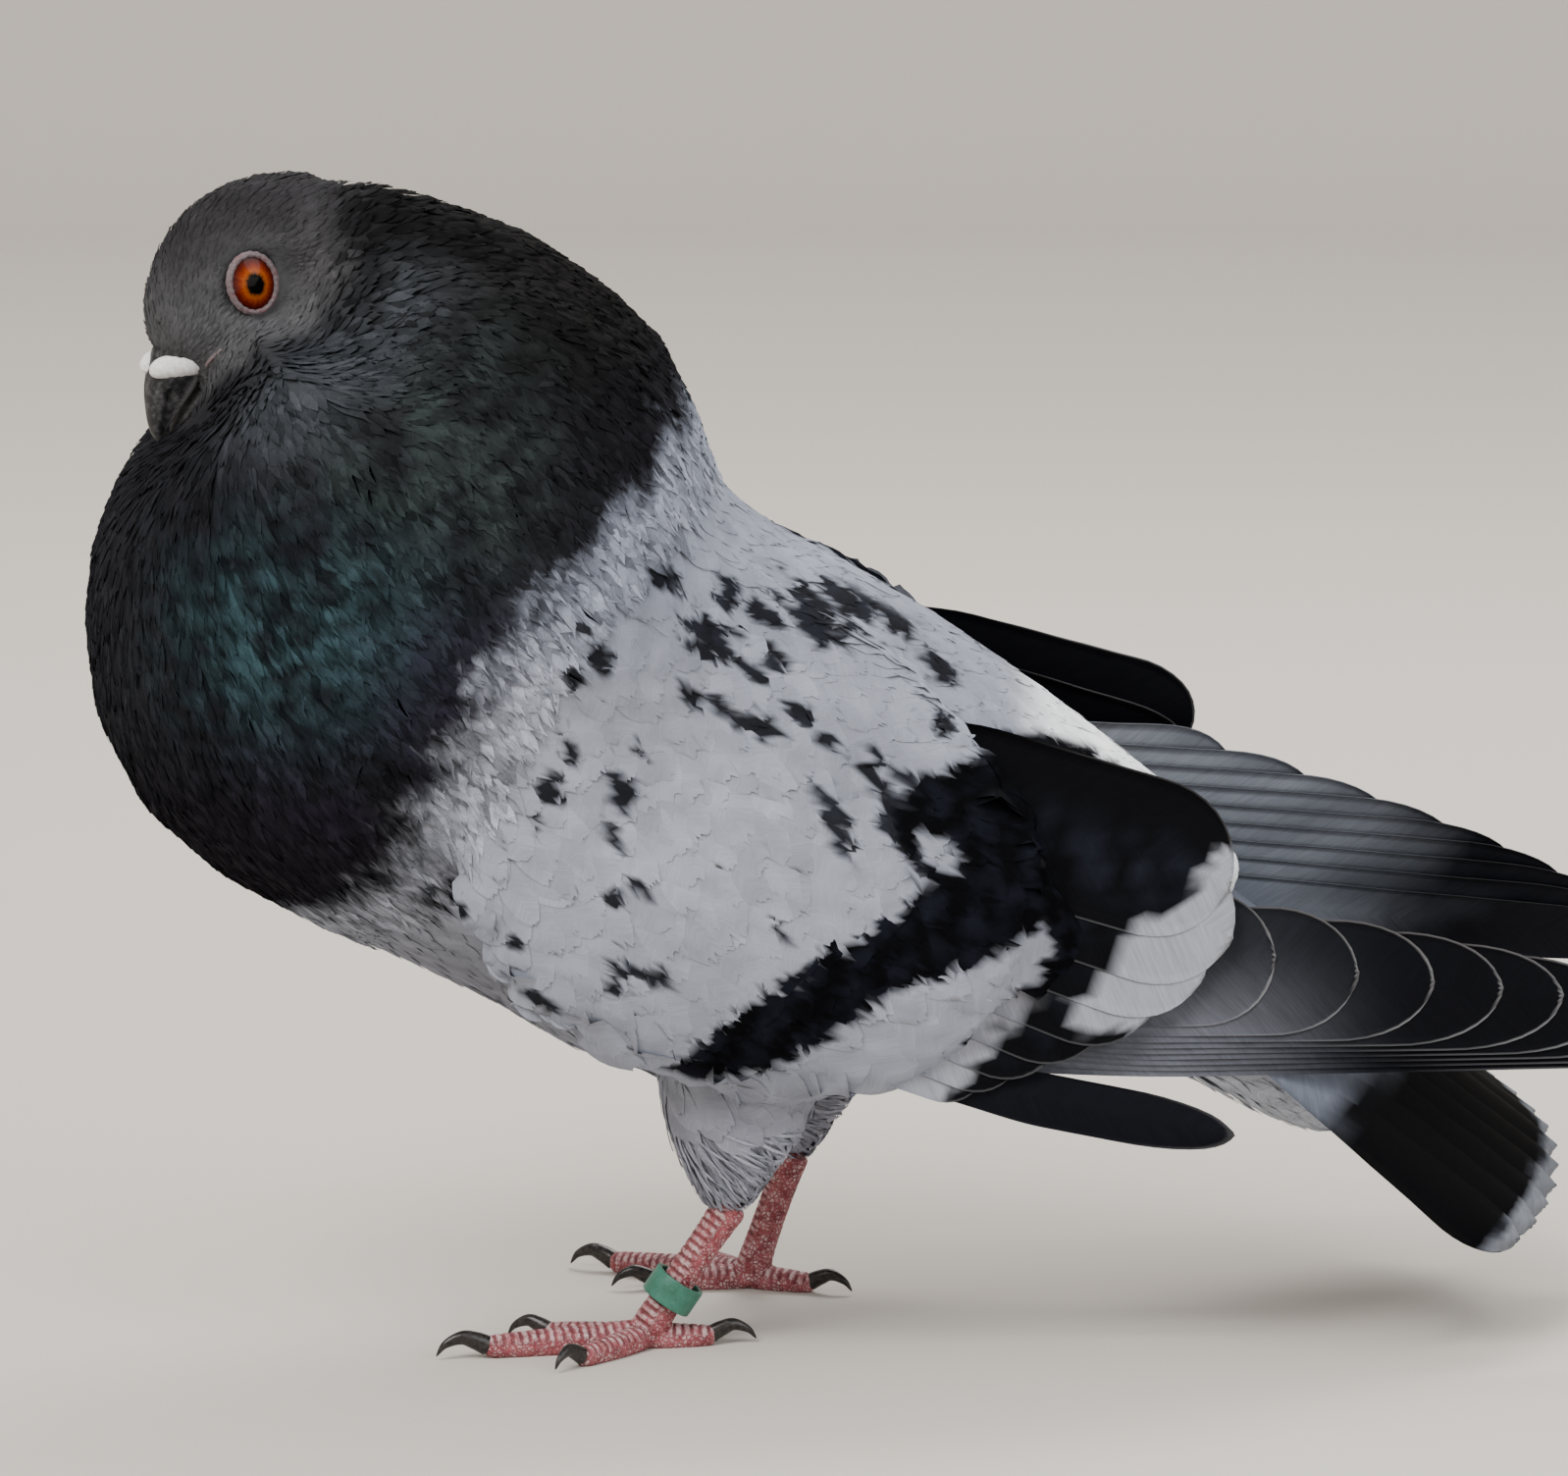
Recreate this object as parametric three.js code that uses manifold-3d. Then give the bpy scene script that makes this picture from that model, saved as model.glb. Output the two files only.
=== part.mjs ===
// A domestic pigeon, life size, strutting with its crop blown up, its head tucked and its tail fanned.
// Millimetres, +Z up. The bird faces -X, its left side is -Y, and it stands on the plane of its soles.
import * as THREE from "three";
import Module from "manifold-3d";
import { mergeVertices } from "three/addons/utils/BufferGeometryUtils.js";

const wasm = await Module();
wasm.setup();

const radians = THREE.MathUtils.degToRad;
const mix = THREE.MathUtils.lerp;
const vec = (x, y, z) => new THREE.Vector3(x, y, z);

// ---- Driving dimensions ----

const GAP = 0.3; // clear space between touching pieces

const BODY_PIVOT = vec(20, 0, 90); // middle of the trunk, which the body leans about
const BODY_ROLL = 12; // degrees that the back leans towards the bird's left
const BODY_YAW = 4; // degrees that the breast turns towards the bird's left

const HEAD_PLACE = vec(-69.3, -17, 190.6); // middle of the skull, level with the eyes
const HEAD_PITCH = 57; // degrees that the bill points below level
const HEAD_YAW = 22; // degrees that the face turns towards the bird's left
const HEAD_ROLL = 12; // degrees that the crown leans towards the bird's left

const BLADE = 0.9; // thickness of a flight feather
const BLADE_STEP = 0.5; // how far each feather of a row lies under the one before it

const TAIL_FEATHERS = 12;
const TAIL_ROOT = vec(84, 0, 96);
const TAIL_PITCH = 38; // degrees below level
const TAIL_SPREAD = 20; // degrees from the middle to the outermost feather
const TAIL_ROOT_SPREAD = 10; // from the middle to the root of the outermost feather
const TAIL_LENGTH = 110;
const TAIL_ROUNDING = 0.04; // how much shorter the outermost feathers are, as a share
const TAIL_ARCH = 6; // how far the outermost feathers droop below the middle ones

const SECONDARIES = 8;
const PRIMARIES = 9;
const SHOULDER = vec(-10, 0, 120);
const RIGHT_WING_RAISE = 0.7; // degrees that the right wing is held higher than the drooping left one
const RIGHT_HAND_RAISE = 6; // how much higher its inner primaries start

const COLLAR = { place: [-12, 0, 121], normal: [-0.89, 0, 0.46] }; // the plane between the neck and the trunk
const HEAD_CUT = { place: vec(-67, -17, 193), radius: 24 }; // the ball of feathers that counts as the head
const EYE = { place: vec(0.5, 8.7, -1), radii: [5.3, 3, 5.3] };

const FEET = {
  left: { base: vec(3.5, -22, 3.4), hock: vec(17.5, -22, 24), heading: 197 },
  right: { base: vec(22, 30, 3.4), hock: vec(29, 27, 24), heading: 152 },
};
const THIGHS = {
  left: { hip: vec(22, -21, 57), knee: vec(19, -23, 42), hock: vec(17.5, -22, 24.5) },
  right: { hip: vec(31, 23, 60), knee: vec(30, 26, 43), hock: vec(29, 27, 24.5) },
};
const SHANK_RADIUS = 2.9;
// Angle from the middle toe in degrees, length up to the claw, radius of the pads, length of the claw.
const TOES = [
  { name: "hind", angle: 174, length: 12.5, radius: 2.3, claw: 7.5 },
  { name: "inner", angle: -34, length: 19, radius: 2.3, claw: 7 },
  { name: "middle", angle: 0, length: 30, radius: 2.6, claw: 8.5 },
  { name: "outer", angle: 38, length: 20, radius: 2.3, claw: 7 },
];
const PAD_SHARES = [1.02, 1.05, 0.94, 0.72]; // of a toe's radius, from the foot's middle to the claw
const SOLE = 0.7; // how much of each pad is flattened against the floor

const RING = { along: 0.34, inner: 3.9, outer: 4.8, height: 5 }; // the band worn on the left shank

// ---- Solids from geometries and back ----

function solidOf(geometry) {
  const plain = new THREE.BufferGeometry();
  plain.setAttribute("position", geometry.getAttribute("position"));
  plain.setIndex(geometry.getIndex());
  const merged = mergeVertices(plain, 1e-4);
  return new wasm.Manifold(
    new wasm.Mesh({
      numProp: 3,
      vertProperties: new Float32Array(merged.attributes.position.array),
      triVerts: new Uint32Array(merged.index.array),
    }),
  );
}

function geometryOf(solid) {
  const mesh = solid.getMesh();
  const geometry = new THREE.BufferGeometry();
  geometry.setAttribute("position", new THREE.BufferAttribute(new Float32Array(mesh.vertProperties), 3));
  geometry.setIndex(new THREE.BufferAttribute(new Uint32Array(mesh.triVerts), 1));
  geometry.computeVertexNormals();
  return geometry;
}

// A solid carried by a matrix. One that mirrors it has its faces turned back to face out.
function moved(solid, matrix) {
  const geometry = geometryOf(solid).applyMatrix4(matrix);
  const order = geometry.getIndex().array;
  if (matrix.determinant() < 0) {
    for (let i = 0; i < order.length; i += 3) [order[i], order[i + 1]] = [order[i + 1], order[i]];
  }
  return solidOf(geometry);
}

const union = (solids) => solids.reduce((all, next) => all.add(next));

// The largest body of a solid, when a cut has left slivers beside it.
const larger = (a, b) => (b.volume() > a.volume() ? b : a);
const largest = (solid) => solid.decompose().reduce(larger);

// Everything on the near side of a plane, where its normal points away from.
function halfSpace(point, normal) {
  const size = 600;
  const box = new THREE.BoxGeometry(size, size, size).translate(0, 0, -size / 2);
  const turn = new THREE.Quaternion().setFromUnitVectors(vec(0, 0, 1), normal.clone().normalize());
  return solidOf(box.applyQuaternion(turn).translate(point.x, point.y, point.z));
}

// Parts a solid at a plane, leaving GAP open: [the part the normal points to, the rest].
function parted(solid, point, normal) {
  const step = normal.clone().setLength(GAP / 2);
  return [
    largest(solid.subtract(halfSpace(point.clone().add(step), normal))),
    largest(solid.intersect(halfSpace(point.clone().sub(step), normal))),
  ];
}

// ---- Lofts ----

// A closed skin through rings of points, each end closed to its middle and all of it turned to face out.
function skinOver(rings) {
  const count = rings[0].length;
  const places = rings.flat();
  const faces = [];
  for (let r = 0; r + 1 < rings.length; r++) {
    for (let i = 0; i < count; i++) {
      const a = r * count + i;
      const b = r * count + ((i + 1) % count);
      faces.push(a, b, a + count, b, b + count, a + count);
    }
  }
  const middle = (ring) => ring.reduce((sum, p) => sum.add(p), vec(0, 0, 0)).divideScalar(ring.length);
  const last = (rings.length - 1) * count;
  places.push(middle(rings[0]), middle(rings.at(-1)));
  for (let i = 0; i < count; i++) {
    const next = (i + 1) % count;
    faces.push(places.length - 2, next, i, places.length - 1, last + i, last + next);
  }
  const geometry = new THREE.BufferGeometry().setFromPoints(places);
  geometry.setIndex(faces);
  if (solidOf(geometry).volume() < 0) {
    for (let i = 0; i < faces.length; i += 3) [faces[i], faces[i + 1]] = [faces[i + 1], faces[i]];
    geometry.setIndex(faces);
  }
  return solidOf(geometry);
}

// The value at t, from 0 to 1, of a smooth curve through a row of numbers.
function smooth(values, t) {
  const points = values.map((v, i) => vec(i, v, 0));
  return new THREE.CatmullRomCurve3(points, false, "catmullrom", 0.5).getPoint(t).y;
}

// A body through sections in the XZ plane, each with a top and a bottom point and a half width.
function sectionLoft(sections, rings, sides, grow = 0) {
  const at = (t, pick) => smooth(sections.map(pick), t);
  return skinOver(
    Array.from({ length: rings + 1 }, (_, r) => {
      const t = r / rings;
      const top = vec(at(t, (s) => s.top[0]), 0, at(t, (s) => s.top[1]));
      const bottom = vec(at(t, (s) => s.bottom[0]), 0, at(t, (s) => s.bottom[1]));
      const centre = top.clone().add(bottom).multiplyScalar(0.5);
      const half = top.clone().sub(centre);
      half.setLength(half.length() + grow);
      const side = at(t, (s) => s.side) + grow;
      return Array.from({ length: sides }, (_, i) => {
        const angle = (2 * Math.PI * i) / sides;
        return centre.clone().addScaledVector(half, Math.sin(angle)).setY(side * Math.cos(angle));
      });
    }),
  );
}

// A round body along a curve, with a radius at each of its points and a half width where that differs.
function tube(points, radii, rings, sides, widths = radii) {
  const curve = new THREE.CatmullRomCurve3(points, false, "catmullrom", 0.5);
  return skinOver(
    Array.from({ length: rings + 1 }, (_, r) => {
      const t = r / rings;
      const place = curve.getPoint(t);
      const along = curve.getTangent(t);
      const across = vec(0, 1, 0).cross(along);
      if (across.lengthSq() < 0.2) across.set(0, 0, 1).cross(along);
      across.normalize();
      const over = along.clone().cross(across);
      const radius = smooth(radii, t);
      const width = smooth(widths, t);
      return Array.from({ length: sides }, (_, i) => {
        const angle = (2 * Math.PI * (i + 0.5)) / sides;
        return place
          .clone()
          .addScaledVector(across, radius * Math.cos(angle))
          .addScaledVector(over, width * Math.sin(angle));
      });
    }),
  );
}

const ball = (place, radii, width, height) =>
  solidOf(new THREE.SphereGeometry(1, width, height).scale(...radii).translate(place.x, place.y, place.z));

// A flight feather: a thin blade from root to tip with its face turned to facing and its end rounded.
function blade({ root, tip, facing, width, roundness, grow = 0 }) {
  const along = tip.clone().sub(root);
  const length = along.length() + grow;
  along.normalize();
  const out = facing.clone().addScaledVector(along, -facing.dot(along)).normalize();
  const across = out.clone().cross(along);
  return skinOver(
    [0, 1 - roundness, 1 - 0.35 * roundness, 1].map((t) => {
      const end = Math.max(0, (t - (1 - roundness)) / roundness);
      const taper = mix(0.5, 1, Math.min(1, 1.5 * t)) * Math.max(0.25, Math.sqrt(Math.max(0, 1 - end * end)));
      const half = grow + 0.5 * width * taper;
      const place = root.clone().addScaledVector(along, length * t);
      const corner = (a, o) =>
        place.clone().addScaledVector(across, a * half).addScaledVector(out, o * (BLADE / 2 + grow));
      return [corner(-1, 1), corner(1, 1), corner(1, -1), corner(-1, -1)];
    }),
  );
}

// ---- Frames ----

const turned = (place, yaw, pitch, roll) =>
  new THREE.Matrix4()
    .makeTranslation(place)
    .multiply(new THREE.Matrix4().makeRotationZ(radians(yaw)))
    .multiply(new THREE.Matrix4().makeRotationY(radians(pitch)))
    .multiply(new THREE.Matrix4().makeRotationX(radians(roll)));

// Body frame: the bird standing straight, before it leans and turns.
const bodyMatrix = turned(BODY_PIVOT, BODY_YAW, 0, BODY_ROLL).multiply(
  new THREE.Matrix4().makeTranslation(BODY_PIVOT.clone().negate()),
);
// Head frame: the bill along -X, the crown up, and the middle of the skull at the origin.
const headMatrix = turned(HEAD_PLACE, HEAD_YAW, -HEAD_PITCH, HEAD_ROLL);

const inBody = (solid) => moved(solid, bodyMatrix);
const inHead = (solid) => moved(solid, headMatrix);
const bodyPoint = (x, y, z) => vec(x, y, z).applyMatrix4(bodyMatrix);
const headPoint = (x, y, z) => vec(x, y, z).applyMatrix4(headMatrix);

// ---- Flesh: trunk, neck and head as one skin, parted by thin cuts ----

// From the tail's root, along the back and the belly, around the blown-up crop to under the bill.
const BODY_SECTIONS = [
  { top: [113, 83], bottom: [106, 73], side: 9 },
  { top: [104, 92], bottom: [94, 67], side: 17 },
  { top: [90, 104], bottom: [81, 61], side: 24 },
  { top: [75, 116], bottom: [66, 55], side: 30 },
  { top: [54, 131], bottom: [48, 49], side: 36 },
  { top: [36, 142], bottom: [22, 42], side: 40 },
  { top: [20, 151], bottom: [-4, 46], side: 42 },
  { top: [14, 162], bottom: [-24, 58], side: 44 },
  { top: [12, 169], bottom: [-42, 67.5], side: 47 },
  { top: [7, 178], bottom: [-64, 78], side: 50 },
  { top: [-3, 188], bottom: [-84, 92], side: 51 },
  { top: [-16, 196], bottom: [-95, 112], side: 49 },
  { top: [-32, 198], bottom: [-97, 133], side: 44 },
  { top: [-48, 193], bottom: [-94, 149], side: 35 },
  { top: [-62, 184], bottom: [-87, 160], side: 23 },
  { top: [-71, 175], bottom: [-79, 167], side: 9 },
];

// From the bill's root to the back of the head.
const SKULL_SECTIONS = [
  { top: [-19.5, 3.5], bottom: [-19, -5.5], side: 4.2 },
  { top: [-17.5, 7.8], bottom: [-16, -8.5], side: 6 },
  { top: [-13, 11.2], bottom: [-12, -10.5], side: 7.8 },
  { top: [-6, 13.9], bottom: [-6, -12.5], side: 9.2 },
  { top: [2, 14.2], bottom: [2, -13.5], side: 10.1 },
  { top: [9.5, 11.7], bottom: [9, -14], side: 10.9 },
  { top: [16.5, 6.2], bottom: [14, -14], side: 10.5 },
  { top: [21.5, 0], bottom: [17, -14], side: 9.5 },
  { top: [24.5, -5.5], bottom: [20, -14], side: 6.5 },
];

// From inside the skull, back over the hind neck and down into the crop.
const neckLine = [
  headPoint(3, 0, -2),
  vec(-57, -17, 190),
  vec(-45, -17, 183),
  vec(-31, -15, 171),
  vec(-14, -12, 154),
];
const NECK_DEPTHS = [8, 19.5, 25.6, 32, 33];
const NECK_WIDTHS = [5, 10.5, 19, 27, 30];

// The soft coverts that hang under the tail, back from the vent.
const UNDERTAIL_SECTIONS = [
  { top: [78, 92], bottom: [66, 56], side: 24 },
  { top: [98, 78], bottom: [90, 48], side: 25 },
  { top: [113, 66], bottom: [107, 39], side: 23 },
  { top: [127, 53], bottom: [122, 31], side: 17 },
  { top: [134, 41], bottom: [133, 30], side: 6 },
];

const skullOf = (grow) => sectionLoft(SKULL_SECTIONS, 9, 16, grow);
const hindNeckOf = (grow) => {
  const [depths, widths] = [NECK_DEPTHS, NECK_WIDTHS].map((radii) => radii.map((r) => r + grow));
  return tube(neckLine, depths, 6, 16, widths);
};
const fleshOf = (grow) =>
  inBody(sectionLoft(BODY_SECTIONS, 19, 20, grow))
    .add(inHead(skullOf(grow)))
    .add(inBody(sectionLoft(UNDERTAIL_SECTIONS, 5, 12, grow)))
    .add(hindNeckOf(grow));
const flesh = fleshOf(0);
const fleshRoom = fleshOf(GAP);

// The neck meets the trunk at the shoulders, and the head meets the neck behind the ears.
const [front, trunk] = parted(flesh, bodyPoint(...COLLAR.place), vec(...COLLAR.normal));
const headCut = (grow) => ball(HEAD_CUT.place, Array(3).fill(HEAD_CUT.radius + grow), 14, 10);
const headWhole = largest(front.intersect(headCut(0)));
const neckWhole = largest(front.subtract(headCut(GAP)));

// ---- Face ----

const eyePlace = (side) => vec(EYE.place.x, side * EYE.place.y, EYE.place.z);
const eyeOf = (side, grow) => {
  const radii = EYE.radii.map((r) => r + grow);
  return inHead(ball(eyePlace(side), radii, 12, 8));
};
const eyes = [-1, 1].map((side) => eyeOf(side, 0));
const sockets = [-1, 1].map((side) => eyeOf(side, GAP));

const UPPER_BILL = [
  { top: [-15, 5], bottom: [-15, -4.6], side: 4.8 },
  { top: [-20, 4], bottom: [-20, -5], side: 4.3 },
  { top: [-24.5, 2.2], bottom: [-24, -5], side: 3.4 },
  { top: [-28, -0.4], bottom: [-27.5, -5], side: 2.4 },
  { top: [-30.6, -3], bottom: [-29.6, -5.3], side: 1.4 },
  { top: [-31.7, -5.5], bottom: [-31, -6.1], side: 0.5 },
];
const LOWER_BILL = [
  { top: [-14, -5.3], bottom: [-14, -9.4], side: 4.6 },
  { top: [-19, -5.6], bottom: [-18.6, -9.6], side: 4 },
  { top: [-23.5, -5.7], bottom: [-23, -9.2], side: 3 },
  { top: [-27, -6], bottom: [-26.6, -8.4], side: 1.8 },
  { top: [-28.8, -6.4], bottom: [-28.6, -7.6], side: 0.7 },
];
// The cere: two swollen lobes that meet over the root of the upper bill.
const CERE_LOBE = { place: [-19.6, 2.7, 1.1], radii: [4.9, 1.9, 2.3], pitch: 52, yaw: 12 };
const cereOf = (side, grow) =>
  solidOf(
    new THREE.SphereGeometry(1, 10, 8)
      .scale(...CERE_LOBE.radii.map((r) => r + grow))
      .rotateY(radians(CERE_LOBE.pitch))
      .rotateZ(radians(side * CERE_LOBE.yaw))
      .translate(CERE_LOBE.place[0], side * CERE_LOBE.place[1], CERE_LOBE.place[2]),
  );
const skullRoom = skullOf(GAP);
const cereRoom = cereOf(-1, GAP).add(cereOf(1, GAP));
const midline = solidOf(new THREE.BoxGeometry(80, GAP, 80));
const upperBillOf = (grow) => sectionLoft(UPPER_BILL, 8, 12, grow);
const lowerBillOf = (grow) => sectionLoft(LOWER_BILL, 6, 10, grow);
const bills = {
  upper: inHead(largest(upperBillOf(0).subtract(skullRoom).subtract(cereRoom))),
  lower: inHead(largest(lowerBillOf(0).subtract(skullRoom))),
};
const ceres = [-1, 1].map((side) => {
  const ownSide = halfSpace(vec(0, 0, 0), vec(0, -side, 0));
  return inHead(largest(cereOf(side, 0).intersect(ownSide).subtract(midline).subtract(skullRoom)));
});

// The throat and the crop stand clear of the bill that is tucked against them.
const billRoom = inHead(
  upperBillOf(2 * GAP)
    .add(lowerBillOf(2 * GAP))
    .add(cereRoom)
    .subtract(skullOf(0)),
);
const head = largest(headWhole.subtract(union(sockets)).subtract(billRoom));
const neck = largest(neckWhole.subtract(billRoom));

// ---- Tail: a fan of blades, the middle pair on top ----

const tailMatrix = bodyMatrix.clone().multiply(turned(TAIL_ROOT, 0, TAIL_PITCH, 0));

function tailBlade(i, grow) {
  const off = (2 * i) / (TAIL_FEATHERS - 1) - 1; // -1 at the outermost feather on the left, 1 on the right
  const angle = radians(TAIL_SPREAD * off);
  const length = TAIL_LENGTH * (1 - TAIL_ROUNDING * off * off);
  const down = -BLADE_STEP * Math.abs(off) * (TAIL_FEATHERS / 2) - TAIL_ARCH * off * off;
  const root = vec(0, TAIL_ROOT_SPREAD * off, down);
  const tip = root.clone().add(vec(length * Math.cos(angle), length * Math.sin(angle), 0));
  return blade({ root, tip, facing: vec(0, 0.35 * off, 1), width: 23, roundness: 0.13, grow });
}
const row = (count, feather, ...rest) => union(Array.from({ length: count }, (_, i) => feather(i, ...rest)));
const tail = moved(row(TAIL_FEATHERS, tailBlade, 0), tailMatrix).subtract(fleshRoom);
const tailRoom = moved(row(TAIL_FEATHERS, tailBlade, GAP), tailMatrix);

// ---- Wings, modelled on the left and mirrored for the right ----

// The flight feathers of a folded wing lie in one sloping plane, each one BLADE_STEP under the one before.
const OUTWARD = vec(0.1, -1, 0.45);
const HAND = vec(44, -39, 79);
function inWingPlane(x, z, i) {
  return vec(x, HAND.y + OUTWARD.x * (x - HAND.x) + OUTWARD.z * (z - HAND.z) + BLADE_STEP * i, z);
}

// The covert shield between an upper and a lower edge: it bulges out and covers the feathers' roots.
const COVERT_UPPER = [
  [4, -22, 157],
  [22, -13, 145.5],
  [42, -14, 135],
  [58, -19, 122.5],
  [70, -25, 111.5],
  [78, -30, 103],
].map((p) => vec(...p));
const COVERT_LOWER = [
  [-38, -43, 90],
  [-26, -43, 74],
  [-6, -43, 63.5],
  [18, -42, 56],
  [40, -42, 54.5],
  [60, -42, 66],
].map((p) => vec(...p));
const COVERT_BULGE = 22;
const COVERT_DEPTH = 16;

function shield(grow) {
  const along = 10;
  const across = 6;
  const top = new THREE.CatmullRomCurve3(COVERT_UPPER);
  const low = new THREE.CatmullRomCurve3(COVERT_LOWER);
  const place = (u, v, depth) => {
    const upper = top.getPoint(u);
    const lower = low.getPoint(u);
    const edge = upper.clone().sub(lower).setLength(grow);
    const p = upper.add(edge).lerp(lower.sub(edge), v);
    p.x += mix(-grow, grow, u);
    const crown = Math.sin(Math.PI * mix(0.05, 0.96, v)) ** 0.55; // steep at both edges, flat between them
    const fade = Math.sin(Math.PI * mix(0.2, 0.84, u)); // lower at the wrist and over the flight feathers
    p.y += depth - COVERT_BULGE * crown * fade;
    return p;
  };
  return skinOver(
    Array.from({ length: along + 1 }, (_, r) => {
      const u = r / along;
      const arch = Math.sin(Math.PI * mix(0.1, 0.95, u));
      const outer = Array.from({ length: across + 1 }, (_, i) => place(u, i / across, -grow));
      const inner = Array.from({ length: across + 1 }, (_, i) => {
        const v = 1 - i / across;
        return place(u, v, 1 + COVERT_DEPTH * Math.sin(Math.PI * v) * arch + grow);
      });
      return [...outer, ...inner];
    }),
  );
}

// From the innermost tertial, which ends highest, down to the outermost secondary.
function secondary(i, grow) {
  const t = i / (SECONDARIES - 1);
  const root = inWingPlane(mix(30, 22, t), mix(114, 72, t), i);
  const tip = inWingPlane(mix(105, 62, t ** 1.25), mix(90, 57, t ** 0.85), i);
  return blade({ root, tip, facing: OUTWARD, width: mix(28, 18, t), roundness: 0.2, grow });
}

// From the innermost primary, which ends first, out to the wing's point.
function primary(i, grow, raise) {
  const t = i / (PRIMARIES - 1);
  const root = inWingPlane(mix(HAND.x, 38, t), mix(HAND.z, 65, t) + raise, i);
  const reach = 1 - (1 - t) ** 1.6; // the tips crowd together towards the wing's point
  const tip = inWingPlane(mix(113, 191, reach), mix(77, 61, t ** 0.8) + raise * mix(1, -1, t), i);
  return blade({ root, tip, facing: OUTWARD, width: mix(24, 14, t), roundness: mix(0.2, 0.13, t), grow });
}

const armOf = (grow) => shield(grow).add(row(SECONDARIES, secondary, grow));
const arm = armOf(0);
const armRoom = armOf(GAP);
const handOf = (raise) => row(PRIMARIES, primary, 0, raise).subtract(armRoom);
const handRoom = row(PRIMARIES, primary, GAP, 0);

// One outer secondary has slipped out of the left wing and hangs below it.
const looseFeather = blade({
  root: inWingPlane(50, 60.5, 0),
  tip: inWingPlane(105, 48.5, 0),
  facing: OUTWARD,
  width: 11,
  roundness: 0.12,
})
  .subtract(armRoom)
  .subtract(handRoom);

const rightWing = bodyMatrix
  .clone()
  .multiply(turned(SHOULDER, 0, -RIGHT_WING_RAISE, 0))
  .multiply(new THREE.Matrix4().makeTranslation(SHOULDER.clone().negate()))
  .multiply(new THREE.Matrix4().makeScale(1, -1, 1));

// ---- Legs ----

const floor = halfSpace(vec(0, 0, 0), vec(0, 0, 1));

const THIGH_RADII = [17.5, 14.5, 7.5, 4.2]; // at the hip, the knee, above the hock and at the hock
const thighOf = ({ hip, knee, hock }) =>
  tube([hip, knee, knee.clone().lerp(hock, 0.65), hock], THIGH_RADII, 7, 14);
const shankOf = ({ base, hock }, grow) =>
  tube(
    [base, base.clone().lerp(hock, 0.3), base.clone().lerp(hock, 0.75), hock],
    [0.3, 0, 0, 0.5].map((extra) => SHANK_RADIUS + extra + grow),
    4,
    10,
  );

// A point on a toe's line, so far ahead of the foot's base and so high above the floor.
function onToe(foot, toe, side) {
  const angle = radians(foot.heading + side * toe.angle);
  const { x, y } = foot.base;
  return (ahead, height) => vec(x + ahead * Math.cos(angle), y + ahead * Math.sin(angle), height);
}

function toeOf(foot, toe, side, grow) {
  const at = onToe(foot, toe, side);
  const low = toe.radius - SOLE;
  const line = [
    at(0, low + 0.6),
    at(toe.length * 0.35, low + 0.1),
    at(toe.length * 0.7, low),
    at(toe.length + grow, low),
  ];
  return tube(line, PAD_SHARES.map((share) => toe.radius * share + grow), 5, 8);
}

function legOf(foot, side, grow) {
  return union(TOES.map((toe) => toeOf(foot, toe, side, grow))).add(shankOf(foot, grow));
}

function clawOf(foot, toe, side) {
  const at = onToe(foot, toe, side);
  const { radius, length, claw } = toe;
  const line = [
    at(length - 1, radius - 0.6),
    at(length + claw * 0.4, radius + 1.4),
    at(length + claw * 0.8, radius + 0.2),
    at(length + claw, 0.8),
  ];
  return tube(line, [radius * 0.55, radius * 0.46, radius * 0.28, 0.25], 4, 6);
}

// The band worn on the left shank.
function ringOf({ base, hock }) {
  const { inner, outer, height, along } = RING;
  const outline = [
    [inner, -height / 2],
    [outer, -height / 2],
    [outer, height / 2],
    [inner, height / 2],
    [inner, -height / 2],
  ].map(([r, y]) => new THREE.Vector2(r, y));
  const axis = hock.clone().sub(base).normalize();
  const place = base.clone().lerp(hock, along);
  const turn = new THREE.Quaternion().setFromUnitVectors(vec(0, 1, 0), axis);
  const band = new THREE.LatheGeometry(outline, 18).applyQuaternion(turn);
  return solidOf(band.translate(place.x, place.y, place.z));
}

// ---- Assembly ----

const pigeon = new THREE.Group();
const paint = (color, roughness = 0.8) => new THREE.MeshStandardMaterial({ color, roughness, metalness: 0 });
const SLATE = "#3b3c40";
const CROP = "#1d2226";
const SILVER = "#9296a1";
const DARK = "#1b1c21";
const TAIL_GREY = "#5b606c";
const HORN = "#2a2a2e";
const CERE = "#f2f2f2";
const EYE_ORANGE = "#8a2e08";
const SKIN_RED = "#a04a58";
const RING_GREEN = "#2f6f5c";

function add(name, solid, color, roughness) {
  const mesh = new THREE.Mesh(geometryOf(solid), paint(color, roughness));
  mesh.name = name;
  pigeon.add(mesh);
}

add("head", head, SLATE);
add("neck", neck, CROP);
add("trunk", trunk, SILVER);
add("eye_left", eyes[0], EYE_ORANGE, 0.15);
add("eye_right", eyes[1], EYE_ORANGE, 0.15);
add("bill_upper", bills.upper, HORN, 0.5);
add("bill_lower", bills.lower, HORN, 0.5);
add("cere_left", ceres[0], CERE);
add("cere_right", ceres[1], CERE);
add("tail", largest(tail), TAIL_GREY);

const WINGS = {
  left: { matrix: bodyMatrix, raise: 0 },
  right: { matrix: rightWing, raise: RIGHT_HAND_RAISE },
};
for (const [side, { matrix, raise }] of Object.entries(WINGS)) {
  const hand = moved(handOf(raise), matrix).subtract(fleshRoom).subtract(tailRoom);
  add("wing_arm_" + side, largest(moved(arm, matrix).subtract(fleshRoom)), SILVER);
  add("wing_primaries_" + side, largest(hand), DARK);
}
add("wing_loose_feather_left", largest(inBody(looseFeather).subtract(fleshRoom)), DARK);

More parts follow.
